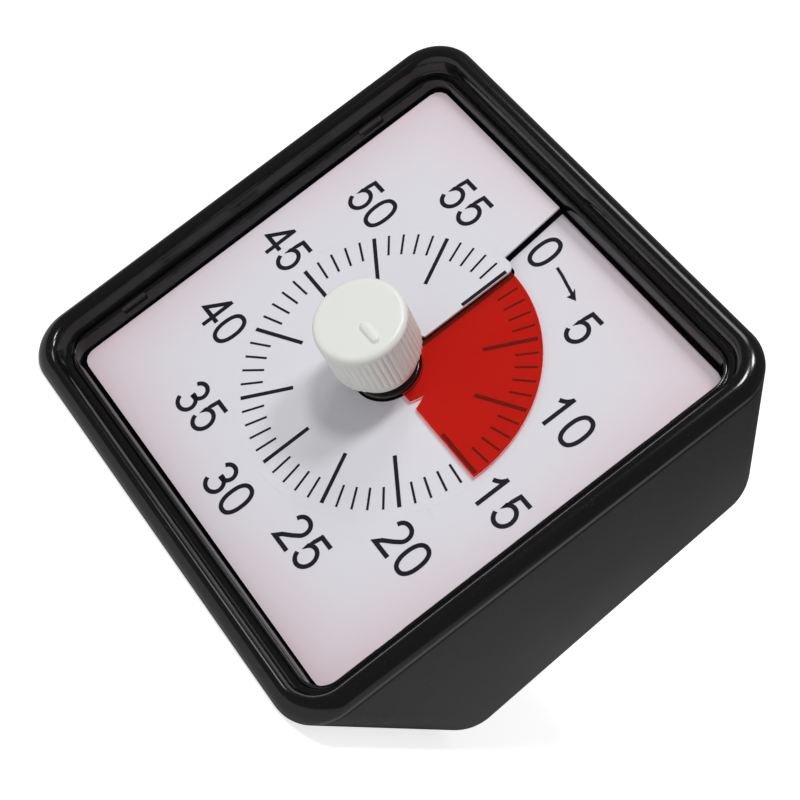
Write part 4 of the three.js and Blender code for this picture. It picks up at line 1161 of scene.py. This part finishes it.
def makeFloor():
    half = stageSet["floor"]
    mesh = bpy.data.meshes.new("floor")
    corners = [(-half, -half, 0), (half, -half, 0), (half, half, 0), (-half, half, 0)]
    mesh.from_pydata(corners, [], [(0, 1, 2, 3)])
    floor = placeObject("floor", mesh)
    material = materials["floorPale"]
    mesh.materials.append(material)
    tree = material.node_tree
    shader = tree.nodes["Principled BSDF"]
    shader.inputs["Emission Color"].default_value = (1, 1, 1, 1)
    path = addNode(tree, "ShaderNodeLightPath")
    glow = mathNode(tree, "MULTIPLY", path.outputs["Is Camera Ray"], stageSet["floorGlow"])
    tree.links.new(glow, shader.inputs["Emission Strength"])


def makeWorld():
    world = bpy.data.worlds.new("studio")
    bpy.context.scene.world = world
    world.use_nodes = True
    tree = world.node_tree
    background = tree.nodes["Background"]
    background.inputs["Color"].default_value = (1, 1, 1, 1)
    path = addNode(tree, "ShaderNodeLightPath")
    more = stageSet["seenGlow"] - stageSet["worldGlow"]
    extra = mathNode(tree, "MULTIPLY", path.outputs["Is Camera Ray"], more)
    shine = mathNode(tree, "MULTIPLY", path.outputs["Is Glossy Ray"], -stageSet["shineDrop"])
    seen = mathNode(tree, "ADD", extra, shine)
    tree.links.new(mathNode(tree, "ADD", seen, stageSet["worldGlow"]), background.inputs["Strength"])


lights = {
    "frontLow": {"azimuth": 0, "elevation": 47, "distance": 0.9, "size": 0.16, "power": 2.0},
    "frontHigh": {"azimuth": 4, "elevation": 67, "distance": 0.9, "size": 0.16, "power": 2.1},
    "leftHigh": {"azimuth": -50, "elevation": 58, "distance": 0.9, "size": 0.3, "power": 1.15},
}


def makeLights():
    aim = Vector((0, 0, 0.035))  # about the middle of the dial
    for name, light in lights.items():
        lamp = bpy.data.lights.new(name, "AREA")
        lamp.shape = "DISK"
        lamp.size = light["size"]
        lamp.energy = light["power"]
        holder = placeObject(name, lamp)
        azimuth = math.radians(light["azimuth"])
        elevation = math.radians(light["elevation"])
        level = math.cos(elevation)
        way = Vector((math.sin(azimuth) * level, -math.cos(azimuth) * level, math.sin(elevation)))
        holder.location = aim + way * light["distance"]
        holder.rotation_euler = way.to_track_quat("Z", "Y").to_euler()


camera = {
    "lens": 82.75, "sensor": 36, "nearest": 0.01, "place": (0.13883, -0.21788, 0.10530),
    "right": (0.55221, 0.55937, 0.61821), "up": (-0.65612, -0.16592, 0.73620),
    "back": (0.51437, -0.81215, 0.27539),
}


def makeCamera():
    body = bpy.data.cameras.new("camera")
    body.lens = camera["lens"]
    body.sensor_width = camera["sensor"]
    body.clip_start = camera["nearest"]
    holder = placeObject("camera", body)
    turn = Matrix((camera["right"], camera["up"], camera["back"])).transposed().to_4x4()
    holder.matrix_world = Matrix.Translation(Vector(camera["place"])) @ turn
    bpy.context.scene.camera = holder


makeFloor()
makeWorld()
makeLights()
makeCamera()
bpy.context.scene.view_settings.view_transform = "Standard"
bpy.context.view_layer.update()
print("stage ready")
